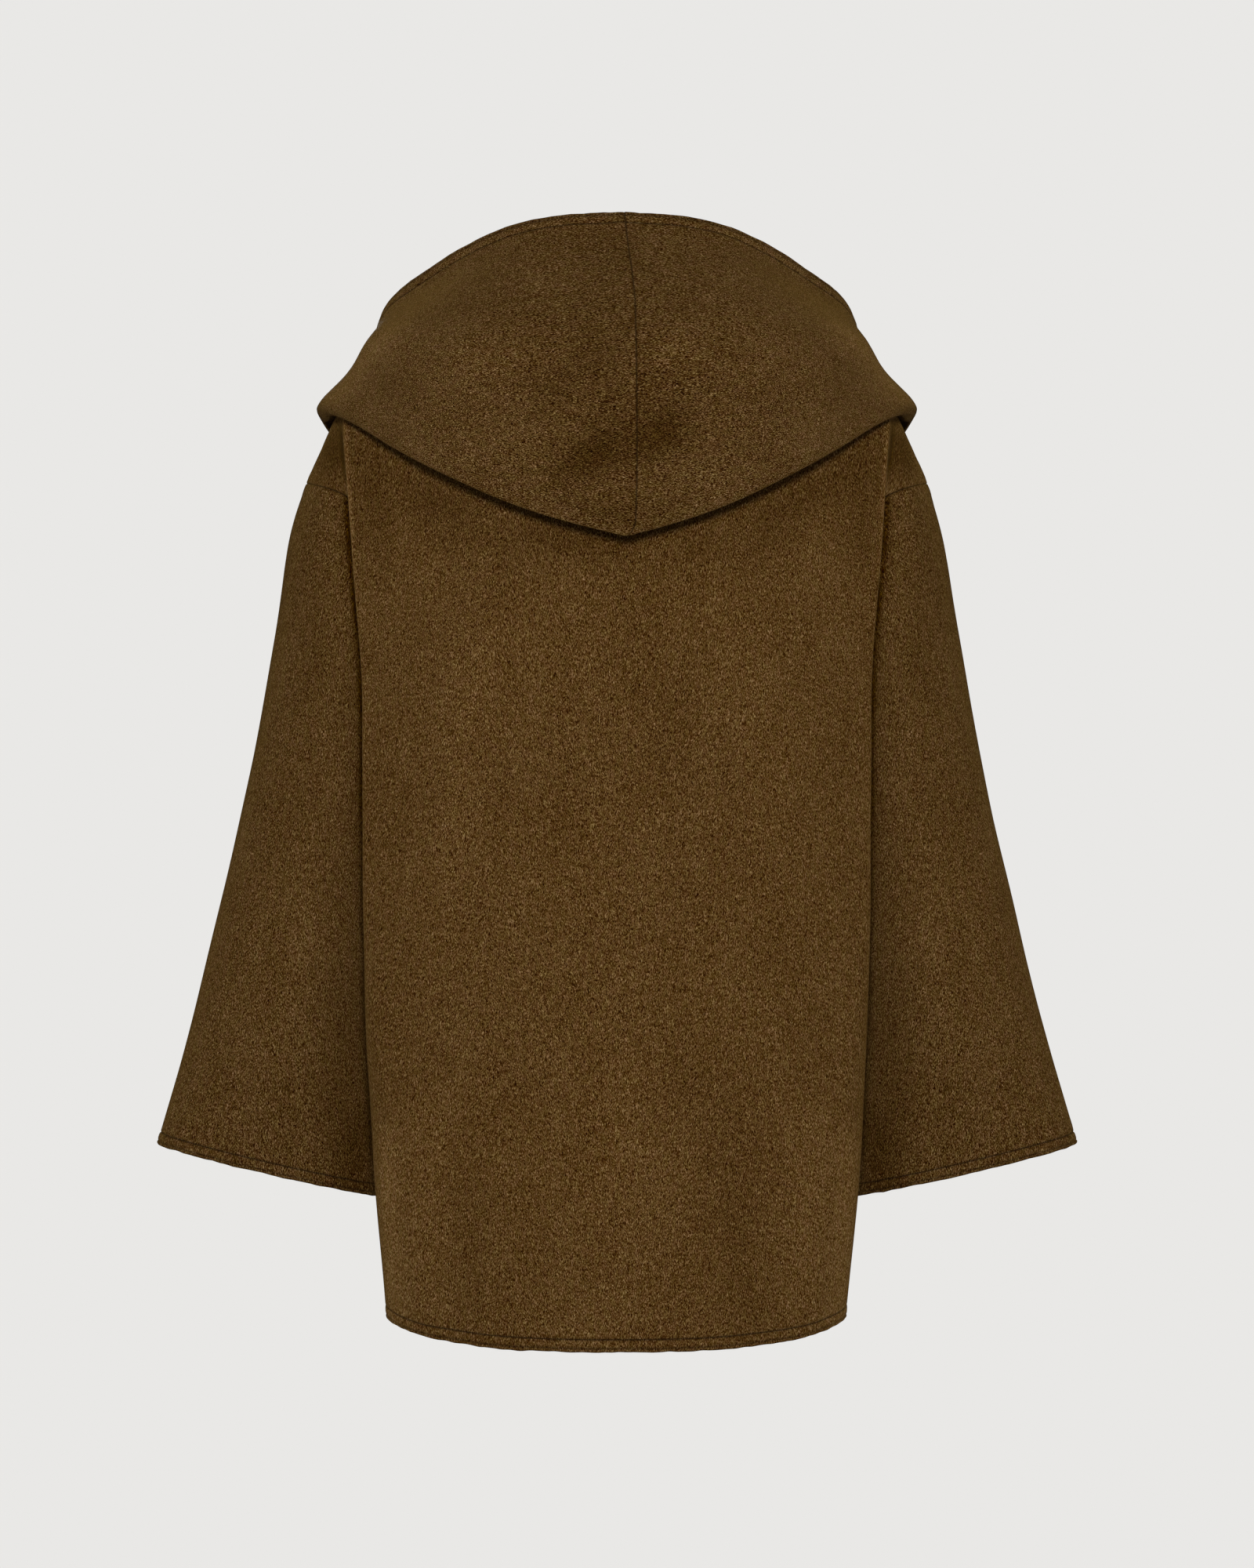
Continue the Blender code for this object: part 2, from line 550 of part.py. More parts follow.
def wall(name, grid, normals, thickness, tone, round_columns=False):
    """A closed wall: the grid, and the grid moved in against its normals by the thickness."""
    inner = grid - normals * thickness[..., None]
    mesh = bpy.data.meshes.new(name)
    verts = np.vstack([grid.reshape(-1, 3), inner.reshape(-1, 3)])
    mesh.from_pydata(verts.tolist(), [], wall_faces(grid, round_columns))
    shape = bmesh.new()
    shape.from_mesh(mesh)
    bmesh.ops.recalc_face_normals(shape, faces=shape.faces)
    shape.to_mesh(mesh)
    shape.free()
    mesh.shade_smooth()
    mesh.set_sharp_from_angle(angle=math.radians(SHARP_DEGREES))
    mesh.materials.append(wool(name, tone))
    piece = bpy.data.objects.new(name, mesh)
    bpy.context.scene.collection.objects.link(piece)


def kept(grid):
    """The grid as it is, on the wearer's left."""
    return grid


def mirrored(grid):
    """The same grid on the wearer's right."""
    return grid * np.array([-1, 1, 1])


def moved_off_seam(grid, shift):
    """Moves a grid's first or last line along the cloth, to leave half the seam gap."""
    grid = grid.copy()
    axis, index, following = shift
    line = np.take(grid, index, axis=axis)
    inside = np.take(grid, following, axis=axis)
    line = line + (SEAM_GAP / 2) * unit(inside - line)
    if axis == 0:
        grid[index] = line
    else:
        grid[:, index] = line
    return grid


def wool(name, tone):
    """The coat's one cloth, in the tone that it has on a piece."""
    material = bpy.data.materials.new(f"{name}_wool")
    material.use_nodes = True
    shader = material.node_tree.nodes["Principled BSDF"]
    shader.inputs["Base Color"].default_value = tone
    shader.inputs["Roughness"].default_value = WOOL_ROUGHNESS
    shader.inputs["Metallic"].default_value = 0.0
    return material


def share_normals(first, second):
    """Gives both sides of a seam one normal, so that the two walls meet face to face."""
    shared = unit(first + second)
    first[:] = shared
    second[:] = shared


def seam_normals(back, front, sleeve):
    """Shares the normals along the shoulder seam, the side seam, and the armhole over the arm. Under
    the arm, where the sleeve turns away from the panel, each keeps its own."""
    shoulder = COLUMNS_TO_FOLD + COLUMNS_IN_FOLD + COLUMNS_TO_SEAM + 1
    share_normals(back[0, -shoulder:], front[0, -shoulder:])
    under = ROWS_OVER_UNDERARM - 1
    share_normals(back[under:, -1], front[under:, -1])
    for panel, direction in ((back, 1), (front, -1)):
        for row in range(ROWS_OVER_UNDERARM):
            own = np.clip((row - LAST_BUTTED_ROW) / ROWS_TO_TURN, 0, 1)
            other = sleeve[0, direction * row]
            panel[row, -1] = unit(panel[row, -1] * own + other * (1 - own))


def thickness(grid, edge_columns=0):
    """The wall's thickness at each point of a grid, with more at the turned edges."""
    thick = np.full(grid.shape[:2], CLOTH)
    thick[-2:] += TURN_EXTRA
    thick[:-2, :edge_columns] += TURN_EXTRA
    return thick


def outward(normals, place, direction):
    """Normals that point along a direction at a place of the grid."""
    return normals if np.dot(normals[place], direction) > 0 else -normals


def middle_normals(normals):
    """Keeps the normals of the first column in the middle plane."""
    normals[:, 0, 0] = 0
    return unit(normals)


def both_halves(grid, flip):
    """A half panel's grid joined to its mirror image."""
    return np.concatenate([flip(grid)[:, :0:-1], grid], axis=1)


def main():
    for old in list(bpy.data.objects):
        bpy.data.objects.remove(old)

    back, back_columns = half_panel(BACK, "back")
    front, front_columns = half_panel(FRONT, "front")
    sleeve = sleeve_grid()
    hood, drift = hood_grid(*neckline_from(back, back_columns, front, front_columns))

    to_back = np.array([0, 1.0, 0])
    back_normals = middle_normals(outward(grid_normals(back), (-1, 0), to_back))
    front_normals = outward(grid_normals(front), (-1, 0), -to_back)
    over_back = (-1, ROWS_OVER_UNDERARM // 2)
    sleeve_normals = outward(grid_normals(sleeve, round_columns=True), over_back, to_back)
    hood_normals = middle_normals(outward(grid_normals(hood), (-1, 0), to_back))
    seam_normals(back_normals, front_normals, sleeve_normals)

    for seam in ((0, 0, 1), (1, -1, -2)):
        back = moved_off_seam(back, seam)
        front = moved_off_seam(front, seam)
    hood[:, 0, 0] += HOOD_SEAM_GAP / 2

    thick = both_halves(thickness(back), kept)
    wall("back", both_halves(back, mirrored), both_halves(back_normals, mirrored), thick, BODY_TONE)
    turned = len(FRONT_EDGES) - 1
    for side, flip in (("left", kept), ("right", mirrored)):
        wall(f"front_{side}", flip(front), flip(front_normals), thickness(front, turned), BODY_TONE)
        wall(f"sleeve_{side}", flip(sleeve), flip(sleeve_normals), thickness(sleeve), SLEEVE_TONE, True)
        wall(f"hood_{side}", flip(hood) + drift, flip(hood_normals), thickness(hood), HOOD_TONE)


if __name__ == "__main__":
    main()
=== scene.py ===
"""The look of the short hooded coat: every cut piece again as a fine shell of napped wool, with its
folds, turned edges, seams and stitches, on a plain pale floor.

Sizes are in metres, in the frame's own axes: +Z up, the coat's back towards +Y, the wearer's left
towards +X. The tables of sections are the coat's own, so each shell lies on its solid's form.
"""

import math

import bmesh
import bpy
import numpy as np
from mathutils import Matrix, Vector, noise


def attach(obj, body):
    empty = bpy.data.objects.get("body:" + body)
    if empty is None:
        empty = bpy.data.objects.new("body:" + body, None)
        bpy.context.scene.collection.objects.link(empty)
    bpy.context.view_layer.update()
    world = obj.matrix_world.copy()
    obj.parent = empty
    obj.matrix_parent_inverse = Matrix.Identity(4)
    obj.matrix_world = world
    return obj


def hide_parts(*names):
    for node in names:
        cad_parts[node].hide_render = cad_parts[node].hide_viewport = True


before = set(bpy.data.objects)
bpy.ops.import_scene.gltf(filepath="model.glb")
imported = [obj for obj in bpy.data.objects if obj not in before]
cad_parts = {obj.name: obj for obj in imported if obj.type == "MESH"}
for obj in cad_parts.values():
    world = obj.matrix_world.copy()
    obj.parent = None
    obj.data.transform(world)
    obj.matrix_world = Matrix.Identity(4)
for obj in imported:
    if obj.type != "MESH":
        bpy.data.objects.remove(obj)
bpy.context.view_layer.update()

# The cloth
CLOTH = 0.0024  # wall of double-faced wool
TURN_EXTRA = 0.0010  # more wall where a free edge is turned in and stitched
TURN_WIDTH = 0.0110  # from the free edge to the stitched line
TURN_STEP = 0.0014  # over which the turned edge thins to the plain wall

# The neck opening, an ellipse seen from above
NECK_HALF_WIDTH = 0.078
NECK_HALF_DEPTH = 0.092
NECK_CENTRE_Y = -0.026

# The centre front edges, which hang a little apart
FRONT_GAP_TOP = 0.0075  # from the middle line to each front edge, at the neck
FRONT_GAP_HEM = 0.0200  # and at the hem

# How a body section runs from the middle line to its side fold
PANEL_POWER = 2.3  # of the fall towards the side fold, seen from above
DROP_POWER_TOP = 1.5  # of the drop in height towards the side fold, at the shoulder seam
DROP_POWER_HEM = 4.0  # and at the hem
ROUND_SHARE = 0.62  # most of the way from fold to valley that the fold's rounding takes
VALLEY_SHARE = 0.34  # and that the valley's rounding takes
VALLEY_ROUND = 0.012  # the valley's rounding where there is room
FOLD_SHARE = 0.20  # of a section's round that the cloth's crisper side fold keeps
FOLD_OPENS = (7.5, 10.5)  # the stations over which the fold opens to the whole of it

BODY_TOP_Y = -0.0020  # the shoulder seams' place

UNDERARM = 6  # the station where the armholes end and the side seams start
HEM = 11  # the last station

# Sections of the back, from the shoulder seam (0) to the hem (11). The middle line's place is
# centre_y and centre_z. fold_x is the reach of the soft fold that hangs beside the arm, valley is the
# hollow behind it, and round says how far the fold's turn spreads.
BODY_COLUMNS = (
    "station", "centre_y", "centre_z", "fold_x", "fold_y", "fold_z",
    "valley_x", "valley_y", "valley_z", "round",
)
BACK_SECTIONS = (
    (0, -0.002, 0.016, 0.2000, -0.006, -0.052, 0.2146, -0.008, -0.070, 0.012),
    (1, 0.050, 0.008, 0.2020, 0.026, -0.057, 0.2125, 0.020, -0.073, 0.010),
    (2, 0.088, -0.022, 0.2058, 0.052, -0.077, 0.2100, 0.038, -0.089, 0.008),
    (3, 0.111, -0.068, 0.2035, 0.070, -0.108, 0.2045, 0.052, -0.115, 0.007),
    (4, 0.127, -0.128, 0.1998, 0.0755, -0.153, 0.1968, 0.060, -0.150, 0.007),
    (5, 0.1355, -0.205, 0.1946, 0.0755, -0.222, 0.1842, 0.053, -0.214, 0.009),
    (6, 0.137, -0.285, 0.1903, 0.0720, -0.298, 0.1720, 0.030, -0.286, 0.012),
    (7, 0.1345, -0.358, 0.1903, 0.068, -0.363, 0.1690, 0.020, -0.357, 0.018),
    (8, 0.130, -0.440, 0.1903, 0.064, -0.440, 0.1775, 0.014, -0.438, 0.026),
    (9, 0.129, -0.535, 0.1890, 0.062, -0.535, 0.1790, 0.008, -0.535, 0.034),
    (10, 0.131, -0.645, 0.1842, 0.056, -0.643, 0.1762, 0.004, -0.642, 0.042),
    (11, 0.134, -0.7700, 0.1739, 0.050, -0.7585, 0.1705, 0.002, -0.7570, 0.052),
)

# Sections of each front, with the same stations as the back's.
FRONT_SECTIONS = (
    (0, -0.002, 0.016, 0.2000, -0.006, -0.052, 0.2146, -0.008, -0.070, 0.012),
    (1, -0.052, 0.002, 0.2000, -0.036, -0.056, 0.2115, -0.035, -0.072, 0.012),
    (2, -0.092, -0.046, 0.2005, -0.064, -0.076, 0.2090, -0.057, -0.088, 0.012),
    (3, -0.119, -0.108, 0.1985, -0.084, -0.109, 0.2035, -0.0760, -0.116, 0.010),
    (4, -0.136, -0.160, 0.1952, -0.100, -0.152, 0.1950, -0.0905, -0.151, 0.010),
    (5, -0.149, -0.225, 0.1880, -0.104, -0.222, 0.1800, -0.0820, -0.214, 0.012),
    (6, -0.154, -0.295, 0.1790, -0.100, -0.296, 0.1680, -0.0560, -0.285, 0.018),
    (7, -0.154, -0.358, 0.1730, -0.094, -0.360, 0.1635, -0.0450, -0.355, 0.024),
    (8, -0.151, -0.440, 0.1740, -0.092, -0.440, 0.1720, -0.036, -0.438, 0.034),
    (9, -0.149, -0.535, 0.1740, -0.090, -0.535, 0.1745, -0.030, -0.535, 0.038),
    (10, -0.149, -0.643, 0.1710, -0.088, -0.643, 0.1730, -0.026, -0.642, 0.040),
    (11, -0.151, -0.7620, 0.1660, -0.086, -0.7580, 0.1695, -0.024, -0.7570, 0.040),
)

# The armhole seam, from the shoulder seam's end over the back or the front of the arm to the underarm.
# turn is the angle round the sleeve, in degrees.
ARMHOLE_COLUMNS = ("station", "turn", "back_x", "back_y", "back_z", "front_x", "front_y", "front_z")
ARMHOLE_POINTS = (
    (0, 0, 0.2388, -0.012, -0.1235, 0.2388, -0.012, -0.1235),
    (1, 20, 0.2371, 0.007, -0.1245, 0.2372, -0.030, -0.1245),
    (2, 42, 0.2300, 0.027, -0.1270, 0.2310, -0.048, -0.1270),
    (3, 68, 0.2150, 0.045, -0.1320, 0.2160, -0.070, -0.1325),
    (4, 95, 0.1935, 0.0515, -0.1450, 0.1940, -0.0845, -0.1455),
    (5, 132, 0.1745, 0.038, -0.2020, 0.1745, -0.0640, -0.2030),
    (6, 180, 0.1590, -0.004, -0.2680, 0.1590, -0.004, -0.2680),
)

# The side seam, from the underarm to the hem.
SIDE_COLUMNS = ("station", "x", "y", "z")
SIDE_SEAM = (
    (6, 0.1590, -0.004, -0.2680),
    (7, 0.1625, -0.006, -0.3520),
    (8, 0.1735, -0.008, -0.4370),
    (9, 0.1765, -0.008, -0.5350),
    (10, 0.1745, -0.008, -0.6420),
    (11, 0.1700, -0.008, -0.7570),
)

# Sections of a sleeve, after the armhole: its outer and inner lines, its middle and half its depth
# from back to front.
SLEEVE_COLUMNS = ("station", "outer_x", "outer_z", "inner_x", "inner_z", "mid_y", "half_depth")
SLEEVE_SECTIONS = (
    (1, 0.2506, -0.166, 0.1675, -0.294, -0.012, 0.0590),
    (2, 0.2613, -0.232, 0.1730, -0.342, -0.016, 0.0575),
    (3, 0.2740, -0.302, 0.1800, -0.402, -0.022, 0.0550),
    (4, 0.2898, -0.376, 0.1855, -0.466, -0.029, 0.0520),
    (5, 0.3085, -0.451, 0.1875, -0.532, -0.036, 0.0490),
    (6, 0.3290, -0.533, 0.1860, -0.602, -0.042, 0.0460),
    (7, 0.3580, -0.6328, 0.1815, -0.6735, -0.048, 0.0440),
)
CUFF = 7
SLEEVE_SQUARENESS = 2.25  # exponent of a sleeve section, 2 for an ellipse

# Sections of the hood, from the centre seam at the back (0) round the neck to the front edge (1).
# edge is the face opening, fold is the lowest line of the bag that the hood makes on the shoulders,
# stand is the height of the neck before it rolls over, arch lifts the layer that lies on the shoulders,
# bulge is how far the outer layer swells and width is half the fold's.
HOOD_COLUMNS = (
    "station", "edge_x", "edge_y", "edge_z", "fold_x", "fold_y", "fold_z",
    "stand", "arch", "bulge", "width",
)
HOOD_SECTIONS = (
    (0.00, 0.0000, 0.100, 0.0697, 0.0000, 0.1700, -0.1750, 0.020, 0.004, 0.0430, 0.0075),
    (0.07, 0.0370, 0.098, 0.0682, 0.0395, 0.1665, -0.1648, 0.020, 0.005, 0.0420, 0.0075),
    (0.14, 0.0717, 0.092, 0.0630, 0.0774, 0.1600, -0.1520, 0.020, 0.007, 0.0400, 0.0075),
    (0.26, 0.1140, 0.075, 0.0483, 0.1295, 0.1400, -0.1265, 0.020, 0.011, 0.0330, 0.0075),
    (0.36, 0.1426, 0.055, 0.0333, 0.1656, 0.1120, -0.1046, 0.020, 0.014, 0.0230, 0.0075),
    (0.45, 0.1668, 0.030, 0.0195, 0.1932, 0.0830, -0.0862, 0.019, 0.014, 0.0092, 0.0075),
    (0.53, 0.1790, 0.005, 0.0080, 0.2148, 0.0420, -0.0755, 0.018, 0.011, -0.0064, 0.0070),
    (0.60, 0.1835, -0.022, -0.0060, 0.2235, -0.0060, -0.0750, 0.018, 0.009, -0.0106, 0.0065),
    (0.70, 0.1800, -0.066, -0.0290, 0.2165, -0.0620, -0.0870, 0.018, 0.009, -0.0010, 0.0065),
    (0.80, 0.1480, -0.112, -0.0530, 0.1800, -0.1180, -0.1110, 0.016, 0.009, 0.0040, 0.0065),
    (0.90, 0.0880, -0.148, -0.0700, 0.1080, -0.1560, -0.1260, 0.013, 0.007, 0.0040, 0.0065),
    (1.00, 0.0110, -0.170, -0.0790, 0.0105, -0.1660, -0.1310, 0.010, 0.004, 0.0030, 0.0065),
)
HOOD_SEAT = 0.0002  # from the neckline up to the hood's first row
HOOD_ROLL = 0.012  # how far the neck stands out before it rolls over
FOLD_RISE = 0.0085  # from the hood's fold line up to where its two layers run straight
HOOD_FOLD_SHARE = 0.62  # of the solid's width that the cloth's crisper fold keeps
SHOULDER_SAG = 0.011  # how far the layer under the fold sags over each shoulder
SHOULDER_SAG_AT = 0.57  # stations
SHOULDER_SAG_WIDTH = 0.07
BRIM = 0.015  # the stitched strip by the face opening, more upright than the hood below it
BRIM_PLACES = (0.0, 0.14, 0.28, 0.40, 0.49, 0.60)  # stations
BRIM_UPRIGHT = (0.15, 0.25, 0.60, 0.52, 0.28, 0.0)  # from the hood's own lean, 0, to straight up, 1
HOOD_HELD_OUT = (0.12, 0.34)  # stations over which that fold moves to the solid fold's outer side
# The centre seam's drift along X, towards the wearer's right, at places along its section
SEAM_DRIFT_PLACES = (0.0, 2.0, 4.0, 5.5, 6.3, 7.0, 8.0)
SEAM_DRIFT = (0.0, 0.0, -0.0080, -0.0150, -0.0140, -0.0072, -0.0060)
DRIFT_ENDS = 0.40  # the station by which the drift has died out

# Control grids, drawn finer afterwards
ROWS_OVER_UNDERARM = 25
ROWS_UNDER_UNDERARM = 17
COLUMNS_IN_NECK = 12
COLUMNS_TO_FOLD = 12
COLUMNS_IN_FOLD = 9
COLUMNS_TO_SEAM = 8
SLEEVE_ROWS = 22
HOOD_PLACES = 8  # the last of a hood section's control points
HOOD_ROWS_A_PLACE = 5

# How finely the curves are worked out
TURN_POINTS = 25  # round a side fold
HOLLOW_POINTS = 13  # round a valley
REACH_PASSES = 4  # of moving a side fold out until its turn has the table's reach
HALVINGS = 30  # in the search for the station where a column meets the neckline
LAST_NECK_STATION = 5.0  # the neckline lies above it
EVEN_PASSES = 4  # of evening out the shells' directions

# Fine shells: (rows, columns)
BACK_GRID = (188, 218)
FRONT_GRID = (188, 124)
SLEEVE_GRID = (128, 136)
HOOD_GRID = (186, 124)

LOW_ROW = -20  # of a shell's grid, where its outer side is looked up
SAME_PLACE = 1e-9  # from a line to a point that is on it
LEAST_LENGTH = 1e-12  # that a vector is divided by
FAR = 1.0  # further than any point of a shell is from its ends
SEAM_REACH = 0.0030  # between the edges of two pieces that one seam joins
MITRE_REACH = 0.0040  # from a seam to where a wall runs straight through again
MITRE_LONGEST = 2.0  # of the wall, through the corner of two pieces that meet at an angle

CURVE_STEPS = 8  # points of a smooth curve for each of its control points
BY_POINTS = 0.35  # of a shell's lines follow the control grid's spacing, and the rest are evenly apart
LEAST_KNOT = 1e-5  # between two points of a curve
SHARP_DEGREES = 50  # over which an edge of a shell is shaded sharp
INSIDE_SHIFT = 0.37  # of the nap's pattern on the cloth's inner face

# Distances from a free edge at which a shell has a row, and from a seam
FREE_STEPS = (0.0, 0.0003, 0.0008, 0.0016, 0.0025, 0.0031, 0.0037, 0.0050, 0.0070, 0.0085,
              0.0090, 0.0095, 0.0100, 0.0105, 0.0120, 0.0155, 0.0205)
SEWN_STEPS = (0.0, 0.0004, 0.0009, 0.0016, 0.0028, 0.0048, 0.0075, 0.0110)
STEPS = {"free": FREE_STEPS, "sewn": SEWN_STEPS, "plain": (0.0,)}

# Relief of the turned edges and the seams
STITCH_AT = 0.0095  # from a free edge to its row of stitches
STITCH_DIP = 0.00085
STITCH_DIP_WIDTH = 0.00070
STITCH_ROOM = 0.0080  # from the first and last stitches of a row to the other edges and seams
EDGE_LINE_AT = 0.0029  # from the free edge to the pressed line beside it
EDGE_LINE_DIP = 0.00055
EDGE_LINE_WIDTH = 0.0008
# These two darken the colour along the pressed line and at the free edge: flattened nap, with painted
# shade in the line's groove; the edge is made darker.
LINE_DARK = 0.80  # how pressed the nap is along it
EDGE_DARK = 0.55  # and along the edge itself
EDGE_DARK_WIDTH = 0.0009
EDGE_SWELL = 0.00035  # of the turned strip between the edge and its stitches
EDGE_SWELL_ENDS = (0.0075, 0.0105)  # from the free edge, across the stitches
SEAM_DIP = 0.0008
SEAM_DIP_WIDTH = 0.0006
SEAM_SWELL = 0.00030  # of the allowance under the cloth beside a seam
SEAM_SWELL_AT = 0.0060
SEAM_SWELL_WIDTH = 0.0030

# Slow swings of the cloth between its folds, and short puckers along its stitching
SWING_HEIGHT = 0.0011
SWING_SIZE = 0.085
FOLDS_START = 0.024  # from a seam to where the folds have their full height
PUCKER_HEIGHT = 0.00045
PUCKER_SIZE = 0.014
PUCKER_REACH = 0.008
PUCKER_FINE = 0.5  # the size and height of the finer puckers on them
RAGGED = 0.00060  # that a free edge wanders in and out
RAGGED_SIZE = 0.0075
RAGGED_SLOW = (3.0, 0.6)  # the size and height of the slower wander, in those of the quick one
RAGGED_REACH = 0.0035
RAGGED_SEED = 50  # on from a piece's own seed
OUTWARD_ROWS = 5  # over which the way out of a free edge is taken
CLOUD_SHIFT = (3.71, 1.93, 2.57)  # through the noise for each step of a seed
OVER_FOLD = (-0.004, 0.016)  # past the hood's fold line, from its under layer to its outer one

# Stitches: short threads in a row, sunk into the cloth at both their ends
STITCH_PITCH = 0.0034
STITCH_LENGTH = 0.0027
STITCH_RADIUS = 0.00027
STITCH_SINK = 0.00010  # of a thread's middle
STITCH_BEND = 1.8  # how many times as deep again its ends sink
STITCH_JITTER = 0.1  # of the pitch, to and fro
STITCH_LENGTHS = (0.85, 1.1)  # the shortest and longest, in those of a plain one
STITCH_LOOK = 0.001  # each way along a row, for a stitch's direction
STITCH_SIDES = 6
STITCH_PROFILE = ((-1.0, 0.35), (-0.8, 0.85), (-0.3, 1.0), (0.3, 1.0), (0.8, 0.85), (1.0, 0.35))

# The wool's nap. Sizes are across the fibres, through the cloth and along them.
FIBRE_SIZE = (0.00050, 0.00050, 0.0016)
FIBRE_ROUGHNESS = 0.6  # of the noise that makes the fibres
TUFT_SIZE = (0.0022, 0.0022, 0.0036)
TUFT_SHARE = 0.10
MOTTLE_SIZE = (0.007, 0.007, 0.010)
MOTTLE_SHARE = 0.02
BRUSHED_SIZE = (0.050, 0.050, 0.090)
BRUSHED_SHARE = 0.05
BEND_SIZE = (0.012, 0.012, 0.018)
BEND = 0.004
FIBRE_LEVELS = (  # from the gaps between the fibres to their tips, in steps of 255 from the tone
    (0.27, -66),
    (0.385, -37),
    (0.50, 0),
    (0.615, 41),
    (0.73, 84),
)
SLEEVE_CONTRAST = 1.05  # of the sleeves' fibres, with the body's at one
HOOD_CONTRAST = 1.15
LEVELS_SHARE = (1.0, 0.99, 0.95)  # of those steps in red, green and blue
# Painted light and shade: how much one display level of it lightens or darkens red, green and blue.
PAINTED_LIGHT_STEP = (0.032, 0.036, 0.047)  # of the light that a display level of the nap's tone adds or takes
HUE_SIZE = (0.0050, 0.0050, 0.0085)
HUE_TINTS = ((0.36, (1.035, 0.985, 1.10)), (0.64, (0.965, 1.015, 0.90)))
BUMP_STRENGTH = 0.45
BUMP_DISTANCE = 0.0010
# The sleeves' and the hood's tones are the same wool as the body's made darker: painted shade for the
# dimmer light on them.
BODY_TONE = (0.0660, 0.0291, 0.0042)
SLEEVE_SHADED_TONE = (0.0596, 0.0260, 0.0034)
HOOD_SHADED_TONE = (0.0592, 0.0256, 0.0032)
WOOL_ROUGHNESS = 0.92
WOOL_SPECULAR = 0.02
WOOL_SHEEN = 0.08
SHEEN_ROUGHNESS = 0.45
SHEEN_TINT = (0.90, 0.52, 0.10, 1)
# The dark brown that seams, stitched lines, the pressed line and free edges are mixed towards, and how
# far: flattened nap, with painted shade in the grooves.
PRESSED_AND_SHADED_TONE = (0.0080, 0.0035, 0.0010, 1)
PRESSED_AND_SHADED_DARK = 0.75
THREAD_TWIST = (0.0004, 0.0004, 0.0004)  # size of its paler and darker spots
THREAD_ROUGHNESS = 0.85
THREAD_SPECULAR = 0.1
THREAD_DARK = (0.009, 0.004, 0.0008)
THREAD_PALE = (0.020, 0.009, 0.0018)
PAPER = (0.815, 0.807, 0.791, 1)
HOOD_NAP_TURN = math.pi / 2  # of the nap on the hood from straight down

# The floor, the lights (name, place, size, power) and the camera
FLOOR_Z = -1.30
FLOOR_RADIUS = 9.0
FLOOR_SIDES = 96
BACKDROP_RADIUS = 12.0
BACKDROP_SIDES = 64
LIT_POINT = (0, 0, -0.35)
AMBIENT = (0.15, 0.15, 0.15, 1)
LIGHTS = (
    ("key", (-0.03, 3.5, 0.22), 0.55, 108.0),
    ("side_left", (3.3, 0.8, -1.0), 1.2, 21.0),
    ("side_right", (-3.3, 0.8, -1.0), 1.2, 21.0),
    ("front", (0.4, -3.5, 0.5), 0.9, 100.0),
)
CAMERA_PLACE = (-0.0078, 3.0, -0.354)
CAMERA_LENS = 90.0
CAMERA_SENSOR = 36.0
CAMERA_CLIP = 60.0

# Soft folds laid on one by one. Each runs from (x0, z0) to (x1, z1) as seen from behind or from the front,
# width is half its spread, height is positive for a ridge and negative for a trough, and nap is painted
# light and shade: how many display levels of 255 paler (a painted highlight) or darker (a painted shade,
# when negative) the colour is made there. The columns are x0, z0, x1, z1, width, height and nap.
CREASE_STARTS = (-0.25, 0.35)  # places along a fold between which it rises
CREASE_ENDS = (0.65, 1.25)  # and between which it falls
CREASE_LEAST = 0.35  # of its height at its ends
# On the back the nap column paints highlight on the ridges and shade in the troughs; the rows with no
# height are a painted shadow under the hood's lower edge.
BACK_CREASES = (
    (0.0960, -0.233, 0.1120, -0.300, 0.022, 0.0022, 2.5),
    (0.1120, -0.300, 0.1350, -0.450, 0.024, 0.0026, 2.5),
    (-0.0980, -0.262, -0.1250, -0.345, 0.022, 0.0024, 2.0),
    (-0.1250, -0.345, -0.1230, -0.450, 0.022, 0.0022, 1.0),
    (-0.0540, -0.262, -0.0510, -0.390, 0.026, -0.0022, -2.0),
    (-0.0080, -0.195, -0.0200, -0.330, 0.024, -0.0012, -2.5),
    (0.0380, -0.330, 0.0500, -0.400, 0.020, -0.0012, -1.0),
    (0.0070, -0.560, -0.0020, -0.680, 0.030, 0.0024, 3.0),
    (-0.0600, -0.560, -0.0850, -0.640, 0.024, -0.0016, -3.0),
    (-0.0850, -0.640, -0.1010, -0.760, 0.020, -0.0026, -4.0),
    (0.1080, -0.665, 0.1190, -0.760, 0.018, -0.0024, -3.5),
    (0.1450, -0.600, 0.1500, -0.765, 0.020, 0.0024, 5.0),
    (-0.1420, -0.610, -0.1480, -0.765, 0.020, 0.0022, 6.0),
    (-0.0250, -0.470, -0.0600, -0.600, 0.026, -0.0014, -1.0),
    (0.0700, -0.500, 0.0560, -0.640, 0.028, -0.0016, 0.0),
    (0.1500, -0.130, 0.1050, -0.200, 0.018, -0.0020, -3.0),
    (-0.1500, -0.130, -0.1080, -0.190, 0.018, -0.0018, -3.0),
    (0.1900, -0.112, 0.0500, -0.188, 0.022, 0.0, -6.0),
    (-0.1900, -0.108, -0.0600, -0.186, 0.022, 0.0, -6.0),
    (0.0600, -0.168, 0.0020, -0.186, 0.0130, 0.0, -8.0),
    (-0.0500, -0.172, 0.0020, -0.186, 0.0130, 0.0, -5.0),
)
